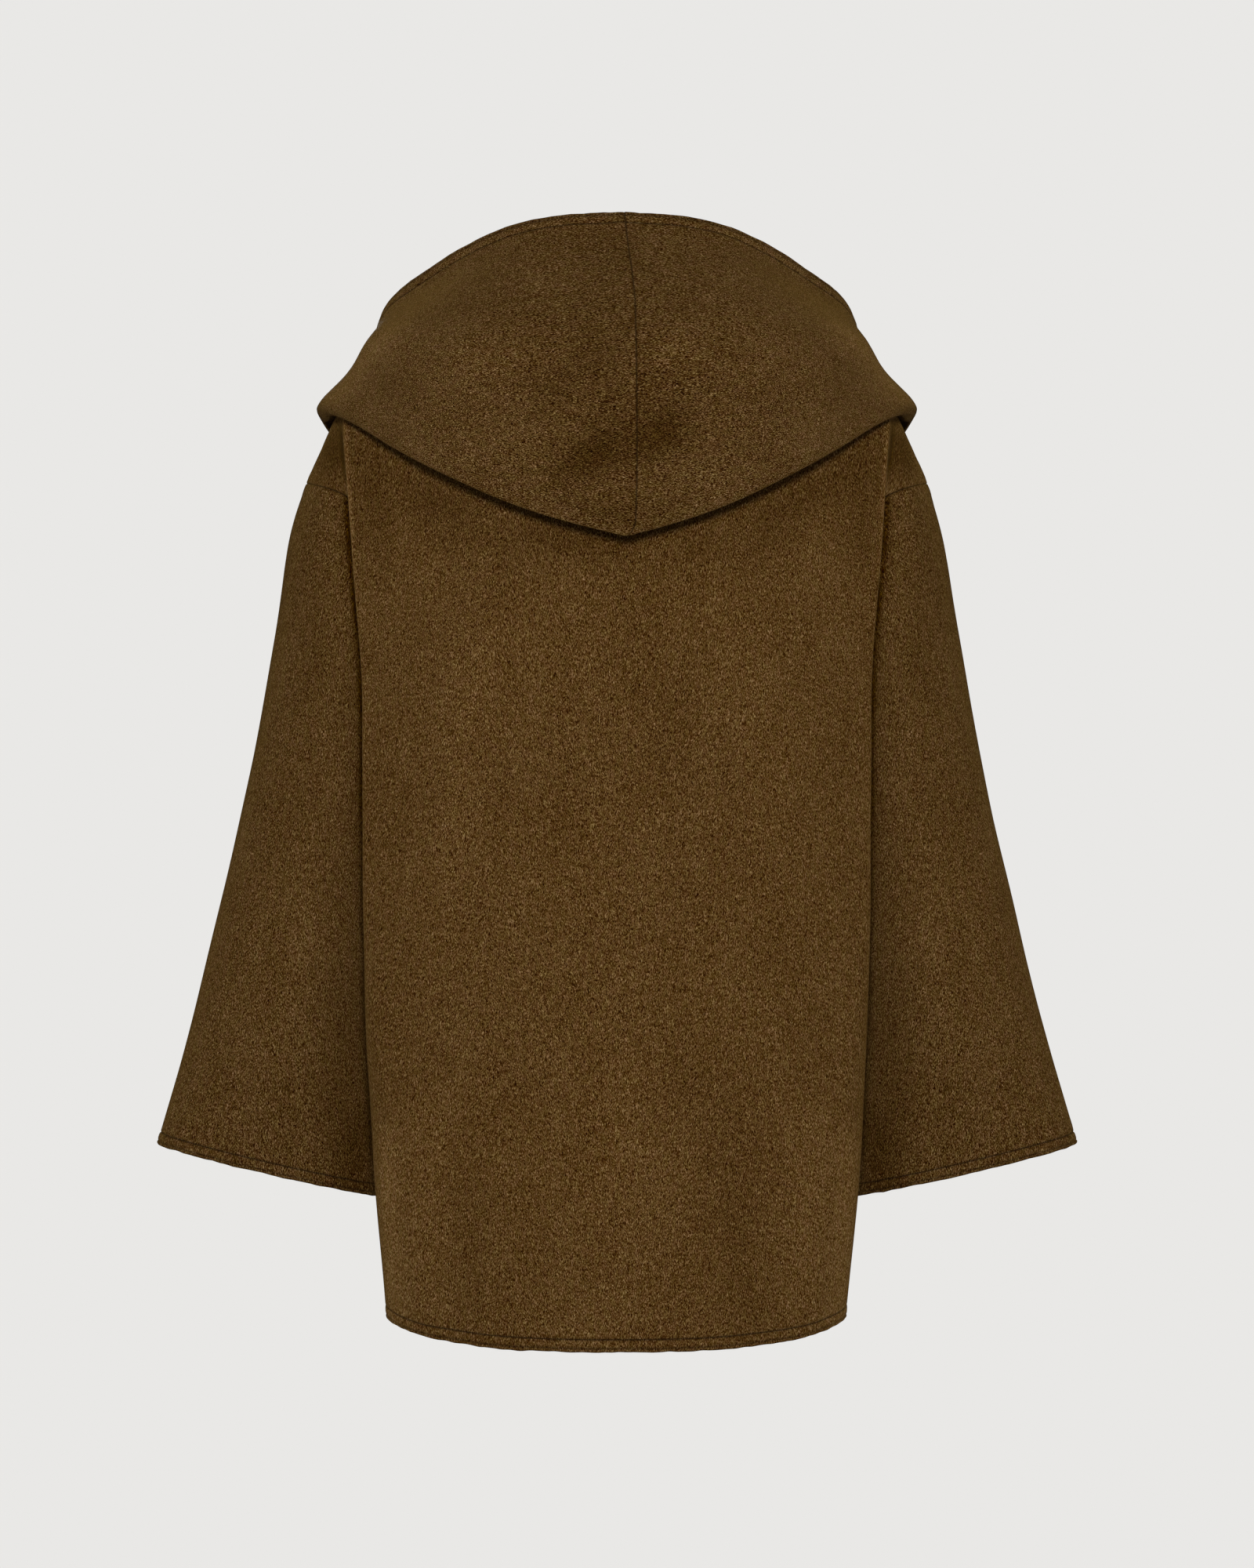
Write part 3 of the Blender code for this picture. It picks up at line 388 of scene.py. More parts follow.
# Painted highlights on the hem's corners and along the side fold's edge, and painted shade beside the fold
# under the hood and in the hollow beyond the fold.
BACK_PAIRS = (  # the same on both sides
    (0.1740, -0.620, 0.1680, -0.765, 0.012, 0.0, 15.0),
    (0.2050, -0.066, 0.1970, -0.200, 0.0022, 0.0, 18.0),
    (0.1880, -0.100, 0.1780, -0.190, 0.018, 0.0, -6.5),
    (0.2180, -0.085, 0.2160, -0.118, 0.0130, 0.0, -14.0),
    (0.2086, -0.082, 0.2042, -0.124, 0.0022, 0.0, -17.0),
)
# The fronts' nap column paints highlight on the ridges and shade in the troughs.
FRONT_CREASES = (
    (0.0500, -0.200, 0.0750, -0.420, 0.024, 0.0022, 2.0),
    (-0.0560, -0.190, -0.0700, -0.380, 0.024, 0.0024, 2.0),
    (0.1150, -0.300, 0.1150, -0.520, 0.024, -0.0022, -2.0),
    (-0.1080, -0.330, -0.1160, -0.560, 0.026, -0.0022, -2.0),
    (0.0600, -0.560, 0.0700, -0.755, 0.028, 0.0026, 2.0),
    (-0.0700, -0.540, -0.0640, -0.755, 0.028, 0.0024, 2.0),
    (0.1200, -0.620, 0.1250, -0.755, 0.020, -0.0024, -2.0),
    (-0.1260, -0.600, -0.1240, -0.755, 0.020, -0.0022, -2.0),
)
# The sleeves' nap column is mostly painted shade: at the top by the shoulder, by the body and at the
# cuffs' inner corners, with a little painted highlight on ridges.
SLEEVE_CREASES = (
    (0.2280, -0.150, 0.2300, -0.290, 0.022, 0.0, -5.0),
    (0.2030, -0.215, 0.2360, -0.330, 0.018, 0.0016, 1.5),
    (0.2250, -0.270, 0.2640, -0.430, 0.022, -0.0018, -1.5),
    (0.2350, -0.430, 0.2700, -0.600, 0.026, 0.0020, 1.5),
    (0.2060, -0.500, 0.2120, -0.660, 0.020, -0.0020, -6.0),
    (0.2900, -0.500, 0.3150, -0.620, 0.020, -0.0012, -1.0),
    (0.1950, -0.610, 0.2000, -0.680, 0.018, 0.0, -10.0),
    (0.2620, -0.560, 0.2700, -0.640, 0.030, 0.0, -3.5),
    (0.2085, -0.130, 0.1965, -0.255, 0.0070, 0.0, -5.0),
    (0.1965, -0.255, 0.1960, -0.470, 0.0070, 0.0, -4.0),
)
# Painted shadow: the dark line on the sleeve just beside the back's side fold, where the fold shades it.
SLEEVE_FOLD_SHADOW = (  # the dark line beside the back's side fold: x, z and the nap down to the next point
    (0.2043, -0.130, -20.0),
    (0.2000, -0.193, -20.0),
    (0.1944, -0.252, -20.0),
    (0.1930, -0.322, -20.0),
    (0.1936, -0.393, -16.0),
    (0.1935, -0.463, -12.0),
    (0.1924, -0.540, -9.0),
    (0.1880, -0.640, 0.0),
)
SLEEVE_FOLD_SHADOW_WIDTH = 0.0026
# The hood's nap column paints shade in its dents and along its lower edge, and highlights on its sides
# over the shoulders.
HOOD_CREASES = (
    (0.0440, -0.133, -0.0010, -0.108, 0.0130, -0.0040, -9.0),
    (-0.0180, -0.114, -0.0500, -0.090, 0.0140, -0.0036, -9.0),
    (0.0380, -0.120, -0.0460, -0.098, 0.0280, -0.0008, -6.0),
    (0.0320, 0.012, 0.0140, -0.022, 0.0160, 0.0, -3.0),
    (0.1000, -0.072, -0.1100, -0.072, 0.0420, 0.0, -3.0),
    (0.0620, 0.036, 0.0500, 0.006, 0.0180, 0.0, 3.0),
    (0.0740, -0.084, -0.0060, -0.026, 0.0180, -0.0034, -4.5),
    (0.0000, -0.075, 0.0180, -0.030, 0.0200, -0.0010, -3.0),
    (0.0960, -0.030, 0.1240, -0.056, 0.0220, 0.0034, 1.5),
    (-0.0360, -0.020, -0.0520, -0.046, 0.0200, 0.0030, 3.0),
    (0.0300, -0.152, -0.0300, -0.152, 0.0110, 0.0026, 0.0),
    (0.0400, -0.157, -0.0500, -0.157, 0.0150, 0.0, -7.5),
    (-0.0700, -0.060, -0.1100, -0.090, 0.0180, 0.0020, 1.0),
    (0.0030, 0.052, -0.0050, 0.010, 0.0180, -0.0016, -4.0),
    (0.0350, 0.056, 0.0800, 0.040, 0.0160, 0.0, -2.0),
    (0.1520, -0.020, 0.1760, -0.032, 0.0130, 0.0022, 0.0),
    (-0.1560, -0.020, -0.1800, -0.032, 0.0130, 0.0022, 0.0),
    (0.1560, -0.020, 0.2060, -0.046, 0.0120, 0.0, 15.0),
    (-0.1600, -0.020, -0.2100, -0.046, 0.0120, 0.0, 16.0),
    (0.1900, -0.056, 0.2240, -0.066, 0.0110, 0.0, 11.0),
    (-0.1940, -0.056, -0.2260, -0.066, 0.0110, 0.0, 11.0),
    (0.0120, -0.170, -0.0120, -0.170, 0.0100, 0.0, -5.0),
)


def unit(vectors):
    """Vectors of length one."""
    return vectors / np.maximum(np.linalg.norm(vectors, axis=-1, keepdims=True), LEAST_LENGTH)


def eased(low, high, values):
    """0 below low, 1 above high, and an even rise between them."""
    share = np.clip((np.asarray(values, float) - low) / (high - low), 0, 1)
    return share * share * (3 - 2 * share)


def monotone(stations, values, at):
    """The monotone cubic through (stations, values), read at the station or stations given."""
    x = np.asarray(stations, float)
    y = np.asarray(values, float)
    at = np.asarray(at, float)
    step = np.diff(x)
    rise = np.diff(y) / step
    slope = np.zeros_like(y)
    slope[0], slope[-1] = rise[0], rise[-1]
    before, after = rise[:-1], rise[1:]
    same_way = before * after > 0
    first = 2 * step[1:] + step[:-1]
    second = step[1:] + 2 * step[:-1]
    safe_before = np.where(same_way, before, 1.0)
    safe_after = np.where(same_way, after, 1.0)
    mean = (first + second) / (first / safe_before + second / safe_after)
    slope[1:-1] = np.where(same_way, mean, 0.0)
    i = np.clip(np.searchsorted(x, at, side="right") - 1, 0, len(step) - 1)
    t = (at - x[i]) / step[i]
    return (
        y[i] * (1 + 2 * t) * (1 - t) ** 2
        + y[i + 1] * t * t * (3 - 2 * t)
        + step[i] * t * (1 - t) * (slope[i] * (1 - t) - slope[i + 1] * t)
    )


class Sections:
    """A table with named columns, read at any station between its rows."""

    def __init__(self, names, rows):
        self.columns = dict(zip(names, np.array(rows, float).T))

    def at(self, name, station):
        return monotone(self.columns["station"], self.columns[name], station)

    def point(self, name, station):
        prefix = f"{name}_" if name else ""
        return np.array([self.at(prefix + axis, station) for axis in "xyz"])


BACK = Sections(BODY_COLUMNS, BACK_SECTIONS)
FRONT = Sections(BODY_COLUMNS, FRONT_SECTIONS)
ARMHOLE = Sections(ARMHOLE_COLUMNS, ARMHOLE_POINTS)
SIDE = Sections(SIDE_COLUMNS, SIDE_SEAM)
SLEEVE = Sections(SLEEVE_COLUMNS, SLEEVE_SECTIONS)
HOOD = Sections(HOOD_COLUMNS, HOOD_SECTIONS)


# Body panels


def panel_edge(side, station):
    """Where a body panel ends at a station: on the armhole seam, or on the side seam under it."""
    if station <= UNDERARM:
        return ARMHOLE.point(side, station)
    return SIDE.point("", station)


def bezier(start, corner, end, count):
    """Points of the quadratic curve that rounds a corner."""
    t = np.linspace(0, 1, count)[:, None]
    return start * (1 - t) ** 2 + 2 * corner * t * (1 - t) + end * t * t


def lengths_along(path):
    """How far each point of a path is from its start."""
    return np.append(0, np.cumsum(np.linalg.norm(np.diff(path, axis=0), axis=1)))


def read_at(values, length, at):
    """Three columns of values, known at each length along a line, read elsewhere on it."""
    return np.stack([np.interp(at, length, values[:, k]) for k in range(3)], axis=1)


def resampled(path, count):
    """count points at even distances along a path of straight pieces."""
    length = lengths_along(path)
    return read_at(path, length, np.linspace(0, length[-1], count))


class BodySection:
    """One section of a body panel: a shallow curve from the middle line to the side fold, the fold's
    turn, and the run through the valley to the seam."""

    def __init__(self, table, side, station):
        self.centre = np.array([table.at("centre_y", station), table.at("centre_z", station)])
        self.drop_power = DROP_POWER_TOP + (DROP_POWER_HEM - DROP_POWER_TOP) * station / HEM
        self.fold = table.point("fold", station)
        valley = table.point("valley", station)
        end = panel_edge(side, station)
        reach = float(table.at("fold_x", station))
        for _ in range(REACH_PASSES):
            self._turn(float(table.at("round", station)) * fold_share(station), valley)
            self.fold[0] += reach - self.turn[:, 0].max()
        run_in, run_out = valley - self.turn[-1], end - valley
        spread = min(
            VALLEY_ROUND,
            VALLEY_SHARE * np.linalg.norm(run_in),
            VALLEY_SHARE * np.linalg.norm(run_out),
        )
        into, out = valley - spread * unit(run_in), valley + spread * unit(run_out)
        self.tail = np.vstack([self.turn[-1], bezier(into, valley, out, HOLLOW_POINTS), end])

    def _turn(self, spread, valley):
        """Rounds the fold, and sets where the shallow curve stops."""
        run = valley - self.fold
        after = min(spread, ROUND_SHARE * np.linalg.norm(run))
        slope = np.array([1, PANEL_POWER * (self.fold[1] - self.centre[0]) / self.fold[0]])
        self.stop = self.fold[0] - spread / np.linalg.norm(slope)
        past = self.fold + after * unit(run)
        self.turn = bezier(self.main(self.stop), self.fold, past, TURN_POINTS)

    def main(self, x):
        """The shallow curve at a distance x from the middle line."""
        share = np.clip(x / self.fold[0], 0, None)
        y = self.centre[0] + (self.fold[1] - self.centre[0]) * share**PANEL_POWER
        z = self.centre[1] + (self.fold[2] - self.centre[1]) * share**self.drop_power
        return np.array([x, y, z])


def fold_share(station):
    """How much of the solid's rounding a side fold keeps: the cloth's own fold is crisper."""
    return FOLD_SHARE + (1 - FOLD_SHARE) * float(eased(*FOLD_OPENS, station))


def front_gap(station):
    """From the middle line to the front edge."""
    return FRONT_GAP_TOP + (FRONT_GAP_HEM - FRONT_GAP_TOP) * station / HEM


def neck_end(direction):
    """The angle round the neck opening, from the back or the front, of the shoulder seam's end."""
    return math.acos(direction * (BODY_TOP_Y - NECK_CENTRE_Y) / NECK_HALF_DEPTH)


def station_at(table, side, across, y):
    """The station where the panel at a distance across the middle line is at y."""
    low, high = 0.0, LAST_NECK_STATION
    direction = 1 if side == "back" else -1
    for _ in range(HALVINGS):
        middle = (low + high) / 2
        reached = direction * BodySection(table, side, middle).main(across)[1] > direction * y
        low, high = (low, middle) if reached else (middle, high)
    return high


def neck_tops(table, side):
    """For each column that starts on the neckline: its distance from the middle line, and station."""
    direction = 1 if side == "back" else -1
    end = neck_end(direction)
    start = math.asin(FRONT_GAP_TOP / NECK_HALF_WIDTH) if side == "front" else 0.0
    turns = np.linspace(start, end, COLUMNS_IN_NECK + 1)
    tops = []
    for turn in turns:
        across = NECK_HALF_WIDTH * math.sin(turn)
        y = NECK_CENTRE_Y + direction * NECK_HALF_DEPTH * math.cos(turn)
        tops.append((across, station_at(table, side, across, y)))
    tops[-1] = (tops[-1][0], 0.0)
    return tops


def panel_rows():
    """The stations of a panel's rows."""
    upper = np.linspace(0, UNDERARM, ROWS_OVER_UNDERARM)
    return np.concatenate([upper, np.linspace(UNDERARM, HEM, ROWS_UNDER_UNDERARM + 1)[1:]])


def half_panel(table, side):
    """The grid of one half of the back, or of one front, on the wearer's left, and how many of its
    columns start on the neckline. Rows run from the neck and shoulder down, columns from the middle
    outwards, evenly spread from the underarm down. A column that starts on the shoulder seam keeps its
    share of the section's width."""
    tops = neck_tops(table, side)
    shoulder = BodySection(table, side, 0.0)
    distances = np.linspace(tops[-1][0], shoulder.stop, COLUMNS_TO_FOLD + 1)[1:]
    tops += [(distance, 0.0) for distance in distances]
    grid = []
    for row in panel_rows():
        spread = min(1.0, row / UNDERARM)
        line = []
        for column, (across, start) in enumerate(tops):
            station = row + start * (1 - spread)
            section = BodySection(table, side, station)
            first = front_gap(station) if side == "front" else 0.0
            even = first + column / (len(tops) - 1) * (section.stop - first)
            if column == 0:
                across = even
            if start == 0.0 and column >= len(tops) - COLUMNS_TO_FOLD - 1:
                across = across / shoulder.stop * section.stop
            line.append(section.main(across + (even - across) * math.sqrt(spread)))
        section = BodySection(table, side, row)
        turn = resampled(section.turn, COLUMNS_IN_FOLD + 1)[1:]
        tail = resampled(section.tail, COLUMNS_TO_SEAM + 1)[1:]
        line.extend([*turn, *tail])
        grid.append(line)
    return np.array(grid), len(tops) - COLUMNS_TO_FOLD


# Sleeves


def sleeve_ring(station, turn):
    """A sleeve section's point at an angle, 0 on the outer line, 90 degrees at the back."""
    outer = np.array([SLEEVE.at("outer_x", station), 0, SLEEVE.at("outer_z", station)])
    inner = np.array([SLEEVE.at("inner_x", station), 0, SLEEVE.at("inner_z", station)])
    middle = (outer + inner) / 2 + [0, float(SLEEVE.at("mid_y", station)), 0]
    power = 2 / SLEEVE_SQUARENESS
    across = math.copysign(abs(math.cos(turn)) ** power, math.cos(turn))
    deep = math.copysign(abs(math.sin(turn)) ** power, math.sin(turn))
    return middle + across * (outer - inner) / 2 + [0, deep * SLEEVE.at("half_depth", station), 0]


def sleeve_line(side, station, places):
    """A line down the sleeve, from a station of the armhole to the cuff, at places along it."""
    turn = math.radians(ARMHOLE.at("turn", station)) * (1 if side == "back" else -1)
    seam = ARMHOLE.point(side, station)
    points = [seam] + [sleeve_ring(place, turn) for place in range(1, CUFF + 1)]
    whole = np.arange(CUFF + 1)
    return np.stack([monotone(whole, column, places) for column in np.array(points).T], axis=1)


def sleeve_grid():
    """The sleeve on the wearer's left: rows from the armhole to the cuff, columns all round, one for
    each row of the body panels over the underarm."""
    places = np.linspace(0, CUFF, SLEEVE_ROWS)
    stations = np.linspace(0, UNDERARM, ROWS_OVER_UNDERARM)
    lines = [sleeve_line("back", station, places) for station in stations]
    lines += [sleeve_line("front", station, places) for station in stations[-2:0:-1]]
    return np.stack(lines, axis=1)


# The hood


def neckline_from(back, back_columns, front, front_columns):
    """The neckline's points with their angles round the neck, from the panels' first rows."""
    points = np.vstack([back[0, :back_columns], front[0, front_columns - 2 :: -1]])
    angles = np.arctan2(points[:, 0] / NECK_HALF_WIDTH, (points[:, 1] - NECK_CENTRE_Y) / NECK_HALF_DEPTH)
    return angles, points


def catmull_rom(p, t, share):
    """The centripetal Catmull-Rom curve through four points at four knots, read a share of the way
    from the second point to the third."""
    at = t[1] + share * (t[2] - t[1])

    def between(first, second, start, stop):
        return (first * (stop - at) + second * (at - start)) / (stop - start)

    a = [between(p[k], p[k + 1], t[k], t[k + 1]) for k in range(3)]
    b = [between(a[k], a[k + 1], t[k], t[k + 2]) for k in range(2)]
    return between(b[0], b[1], t[1], t[2])


def curve_through(points, places):
    """The smooth curve through points, read at places counted in points."""
    ends = np.vstack([2 * points[0] - points[1], points, 2 * points[-1] - points[-2]])
    knots = np.append(0, np.cumsum(np.sqrt(np.linalg.norm(np.diff(ends, axis=0), axis=1))))
    i = np.clip(np.floor(places).astype(int), 0, len(points) - 2)
    p = [ends[i + k] for k in range(4)]
    t = [knots[i + k][:, None] for k in range(4)]
    return catmull_rom(p, t, (places - i)[:, None])


def hood_section(station, neck):
    """The hood's curve at a station: up from its point on the neckline, over the roll, down to the
    fold, and up the outer layer to the edge of the face opening."""
    edge, fold = HOOD.point("edge", station), HOOD.point("fold", station)
    width = float(HOOD.at("width", station))
    away = unit(np.array([fold[0], fold[1] - NECK_CENTRE_Y, 0]))
    up = np.array([0, 0, 1.0])
    seat = neck + CLOTH / 2 * away + HOOD_SEAT * up
    top = seat + HOOD.at("stand", station) * up + HOOD_ROLL * away
    spare = (1 - HOOD_FOLD_SHARE) * width * away
    rise = FOLD_RISE - SHOULDER_SAG * bump(station - SHOULDER_SAG_AT, SHOULDER_SAG_WIDTH)
    inner = fold - width * away + rise * up
    outer = fold + (2 * HOOD_FOLD_SHARE - 1) * width * away + FOLD_RISE * up
    fold = fold - spare
    held_out = 2 * eased(*HOOD_HELD_OUT, station) * spare
    inner, fold, outer = inner + held_out, fold + held_out, outer + held_out
    between = (top + inner) / 2 + HOOD.at("arch", station) * up
    swell = (outer + edge) / 2 + HOOD.at("bulge", station) * away
    upright = np.interp(station, BRIM_PLACES, BRIM_UPRIGHT)
    brim = edge + BRIM * unit((1 - upright) * unit(swell - edge) - upright * up)
    return np.array([seat, top, between, inner, fold, outer, swell, brim, edge])


def hood_grid(angles, neckline):
    """The hood's half on the wearer's left without the drift of its centre seam, and the drift: rows
    from the neck seam to the edge, columns from the centre seam to the front."""
    columns, drifts = [], []
    places = np.linspace(0, HOOD_PLACES, HOOD_PLACES * HOOD_ROWS_A_PLACE + 1)
    for station, neck in zip(angles / angles[-1], neckline):
        controls = hood_section(station, neck)
        fade = max(0.0, 1 - station / DRIFT_ENDS) ** 2
        columns.append(curve_through(controls, places))
        drifts.append(fade * monotone(SEAM_DRIFT_PLACES, SEAM_DRIFT, places))
    drift = np.stack(drifts, axis=1)[..., None] * np.array([1.0, 0, 0])
    return np.stack(columns, axis=1), drift


def grid_normals(grid, loop):
    """Normals of a grid by central differences, evened out with their neighbours."""

    def widened(values):
        """A grid with a column more on each side: the next ones round, or its outermost ones again."""
        left, right = (-1, 0) if loop else (0, -1)
        return np.concatenate([values[:, [left]], values, values[:, [right]]], axis=1)

    down = np.gradient(grid, axis=0)
    across = np.gradient(widened(grid), axis=1)[:, 1:-1] if loop else np.gradient(grid, axis=1)
    normals = unit(np.cross(across, down))
    for _ in range(EVEN_PASSES):
        wide = widened(normals)
        tall = np.concatenate([normals[:1], normals, normals[-1:]])
        normals = unit(2 * normals + wide[:, 2:] + wide[:, :-2] + tall[2:] + tall[:-2])
    return normals


# Fine shells


def curves_through(control, loop):
    """The smooth curve through each row's points, with CURVE_STEPS points for each of theirs."""
    if loop:
        points = np.concatenate([control[:, -1:], control, control[:, :2]], axis=1)
    else:
        before = 2 * control[:, :1] - control[:, 1:2]
        after = 2 * control[:, -1:] - control[:, -2:-1]
        points = np.concatenate([before, control, after], axis=1)
    gaps = np.maximum(np.sqrt(np.linalg.norm(np.diff(points, axis=1), axis=2)), LEAST_KNOT)
    knots = np.concatenate([np.zeros((len(points), 1)), np.cumsum(gaps, axis=1)], axis=1)
    stop = points.shape[1] - 3
    p = [points[:, k : k + stop, None] for k in range(4)]
    t = [knots[:, k : k + stop, None, None] for k in range(4)]
    share = np.arange(CURVE_STEPS)[:, None] / CURVE_STEPS
    curve = catmull_rom(p, t, share).reshape(len(points), -1, 3)
    return np.concatenate([curve, points[:, stop + 1 : stop + 2]], axis=1)


def finer(control, count, ends, loop):
    """Each row of a grid again with count points, close together by its ends as the steps say."""
    curves = curves_through(control, loop)
    steps = np.linalg.norm(np.diff(curves, axis=1), axis=2)
    rows = []
    first, last = np.array(STEPS[ends[0]]), np.array(STEPS[ends[1]])
    for curve, step in zip(curves, steps):
        length = np.append(0, np.cumsum(step))
        share = (1 - BY_POINTS) * length / length[-1] + BY_POINTS * np.linspace(0, 1, len(length))
        if loop:
            at = np.interp(np.arange(count) / count, share, length)
        else:
            stops = np.interp((first[-1], length[-1] - last[-1]), length, share)
            inside = np.linspace(*stops, count - len(first) - len(last) + 2)[1:-1]
            at = np.concatenate([first, np.interp(inside, share, length), length[-1] - last[::-1]])
        rows.append(read_at(curve, length, at))
    return np.array(rows)


class Shell:
    """The fine grid of one piece, with its normals and how far each point is from each of its ends.
    ends says what the first and last row and the first and last column are: free, sewn or plain."""

    def __init__(self, control, size, ends, loop=False):
        across = finer(control, size[1], ends[2:], loop)
        self.grid = finer(across.transpose(1, 0, 2), size[0], ends[:2], False).transpose(1, 0, 2)
        self.ends = ends
        self.loop = loop
        self.normals = grid_normals(self.grid, loop)
        self.down, self.over = down, over = self.lengths(0), self.lengths(1)
        self.from_end = (down, down[-1:] - down, over, over[:, -1:] - over)
        self.to_free = self.nearest("free")
        self.to_seam = self.nearest("sewn")

    def lengths(self, axis):
        """How far each point is along its line of the grid."""
        steps = np.linalg.norm(np.diff(self.grid, axis=axis), axis=-1)
        start = np.zeros_like(np.take(steps, [0], axis=axis))
        return np.concatenate([start, np.cumsum(steps, axis=axis)], axis=axis)

    def nearest(self, kind):
        """From each point to the nearest end of a kind."""
        found = [far for far, end in zip(self.from_end, self.ends) if end == kind]
        return np.minimum.reduce([np.full(self.grid.shape[:2], FAR), *found])

    def facing(self, column, direction):
        """Turns the normals so that they point along a direction low on a column of the grid."""
        if np.dot(self.normals[LOW_ROW, column], direction) < 0:
            self.normals = -self.normals
        return self

    def meet(self, others):
        """Sets which way the wall runs through: its normals, turned by each seam to halfway between
        this piece's and the other's, so that the two walls close on each other."""
        sewn = self.to_seam < SAME_PLACE
        points, normals = self.grid[sewn], self.normals[sewn]
        far_points = np.concatenate([other.grid[other.to_seam < SAME_PLACE] for other in others])
        far_normals = np.concatenate([other.normals[other.to_seam < SAME_PLACE] for other in others])
        apart = np.linalg.norm(points[:, None] - far_points[None], axis=-1)
        nearest = np.argmin(apart, axis=1)
        joined = apart[np.arange(len(points)), nearest] < SEAM_REACH
        halfway = unit(normals + far_normals[nearest])
        mitre = 1 / np.maximum(np.sum(halfway * normals, axis=-1), 1 / MITRE_LONGEST)
        through = self.normals.copy()
        through[sewn] = np.where(joined[:, None], halfway * mitre[:, None], normals)
        self.through = self.normals
        for end, kind in enumerate(self.ends):
            if kind == "sewn":
                edge = np.take(through, [-(end % 2)], axis=end // 2)
                near = 1 - eased(0.0, MITRE_REACH, self.from_end[end])
                self.through = self.through + (edge - self.through) * near[..., None]


# Relief


def bump(distance, width):
    """A soft hump of height one."""
    return np.exp(-((distance / width) ** 2))


def edge_relief(shell):
    """The pressed line, the row of stitches and the swell of a turned edge, and how much each point
    darkens:
    flattened nap with painted shade in the line's and the stitches' grooves, and darker along the free
    edge.
    """
    away = shell.to_free
    line = bump(away - EDGE_LINE_AT, EDGE_LINE_WIDTH)
    stitched = bump(away - STITCH_AT, STITCH_DIP_WIDTH)
    swell = EDGE_SWELL * (1 - eased(*EDGE_SWELL_ENDS, away))
    relief = swell - EDGE_LINE_DIP * line - STITCH_DIP * stitched
    return relief, EDGE_DARK * bump(away, EDGE_DARK_WIDTH) + LINE_DARK * line + stitched


def seam_relief(shell):
    """The dip of a seam and the swell of the allowances under the cloth beside it. The dip also darkens
    the
    colour: flattened nap, with painted shade in the seam's groove.
    """
    away = shell.to_seam
    dip = bump(away, SEAM_DIP_WIDTH)
    swell = bump(away - SEAM_SWELL_AT, SEAM_SWELL_WIDTH)
    return SEAM_SWELL * swell - SEAM_DIP * dip, dip


def puckers(shell, seed):
    """Short, uneven waves along the stitched lines and seams, where the thread draws the cloth in."""
    near = sum(bump(away - STITCH_AT, PUCKER_REACH) for away in (shell.to_free, shell.to_seam))
    fine = PUCKER_FINE * clouds(shell.grid, PUCKER_FINE * PUCKER_SIZE, seed + 7)
    return PUCKER_HEIGHT * near * (clouds(shell.grid, PUCKER_SIZE, seed) + fine)


def clouds(points, size, seed):
    """Smooth noise of a size, from -1 to 1, at each point of a grid."""
    shift = Vector([seed * step for step in CLOUD_SHIFT])
    flat = points.reshape(-1, 3) / size
    values = [noise.noise(Vector(point) + shift) for point in flat.tolist()]
    return np.array(values).reshape(points.shape[:-1])


def both_sides(rows):
    """Rows of a table of folds, each with its mirror image."""
    return rows + tuple((-x0, z0, -x1, z1, *rest) for x0, z0, x1, z1, *rest in rows)


def chained(points, width):
    """Rows of a table of folds with no height that only paint light and shade, along a line of (x, z, nap)
    points.
    """
    return tuple((*one[:2], *two[:2], width, 0.0, one[2]) for one, two in zip(points, points[1:]))


def crease_relief(points, table):
    """The height, and the painted light and shade in display levels, that a table of soft folds gives at
    each point, as seen along Y.
    """
    height, tone = np.zeros(points.shape[:-1]), np.zeros(points.shape[:-1])
    flat = points[..., [0, 2]]
    for x0, z0, x1, z1, width, rise, nap in table:
        start, run = np.array([x0, z0]), np.array([x1 - x0, z1 - z0])
        along = np.sum((flat - start) * run, axis=-1) / np.dot(run, run)
        aside = np.linalg.norm(flat - start - np.clip(along, 0, 1)[..., None] * run, axis=-1)
        taper = eased(*CREASE_STARTS, along) * (1 - eased(*CREASE_ENDS, along))
        share = (CREASE_LEAST + (1 - CREASE_LEAST) * taper) * bump(aside, width)
        height += rise * share
        # tone holds painted highlight and painted shade, in display levels.
        tone += nap * share
    return height, tone


def ragged(shell, seed):
    """How the free edges wander in the cloth's own surface."""
    shift = np.zeros_like(shell.grid)
    size, height = RAGGED_SLOW
    for end, kind in enumerate(shell.ends):
        if kind != "free":
            continue
        rows = (-1, -1 - OUTWARD_ROWS) if end % 2 else (0, OUTWARD_ROWS)
        outermost, next_in = (np.take(shell.grid, [row], axis=end // 2) for row in rows)
        wander = clouds(shell.grid, RAGGED_SIZE, seed)
        wander += height * clouds(shell.grid, size * RAGGED_SIZE, seed + 3)
        wander *= RAGGED * bump(shell.from_end[end], RAGGED_REACH)
        shift += wander[..., None] * unit(outermost - next_in)
    return shift


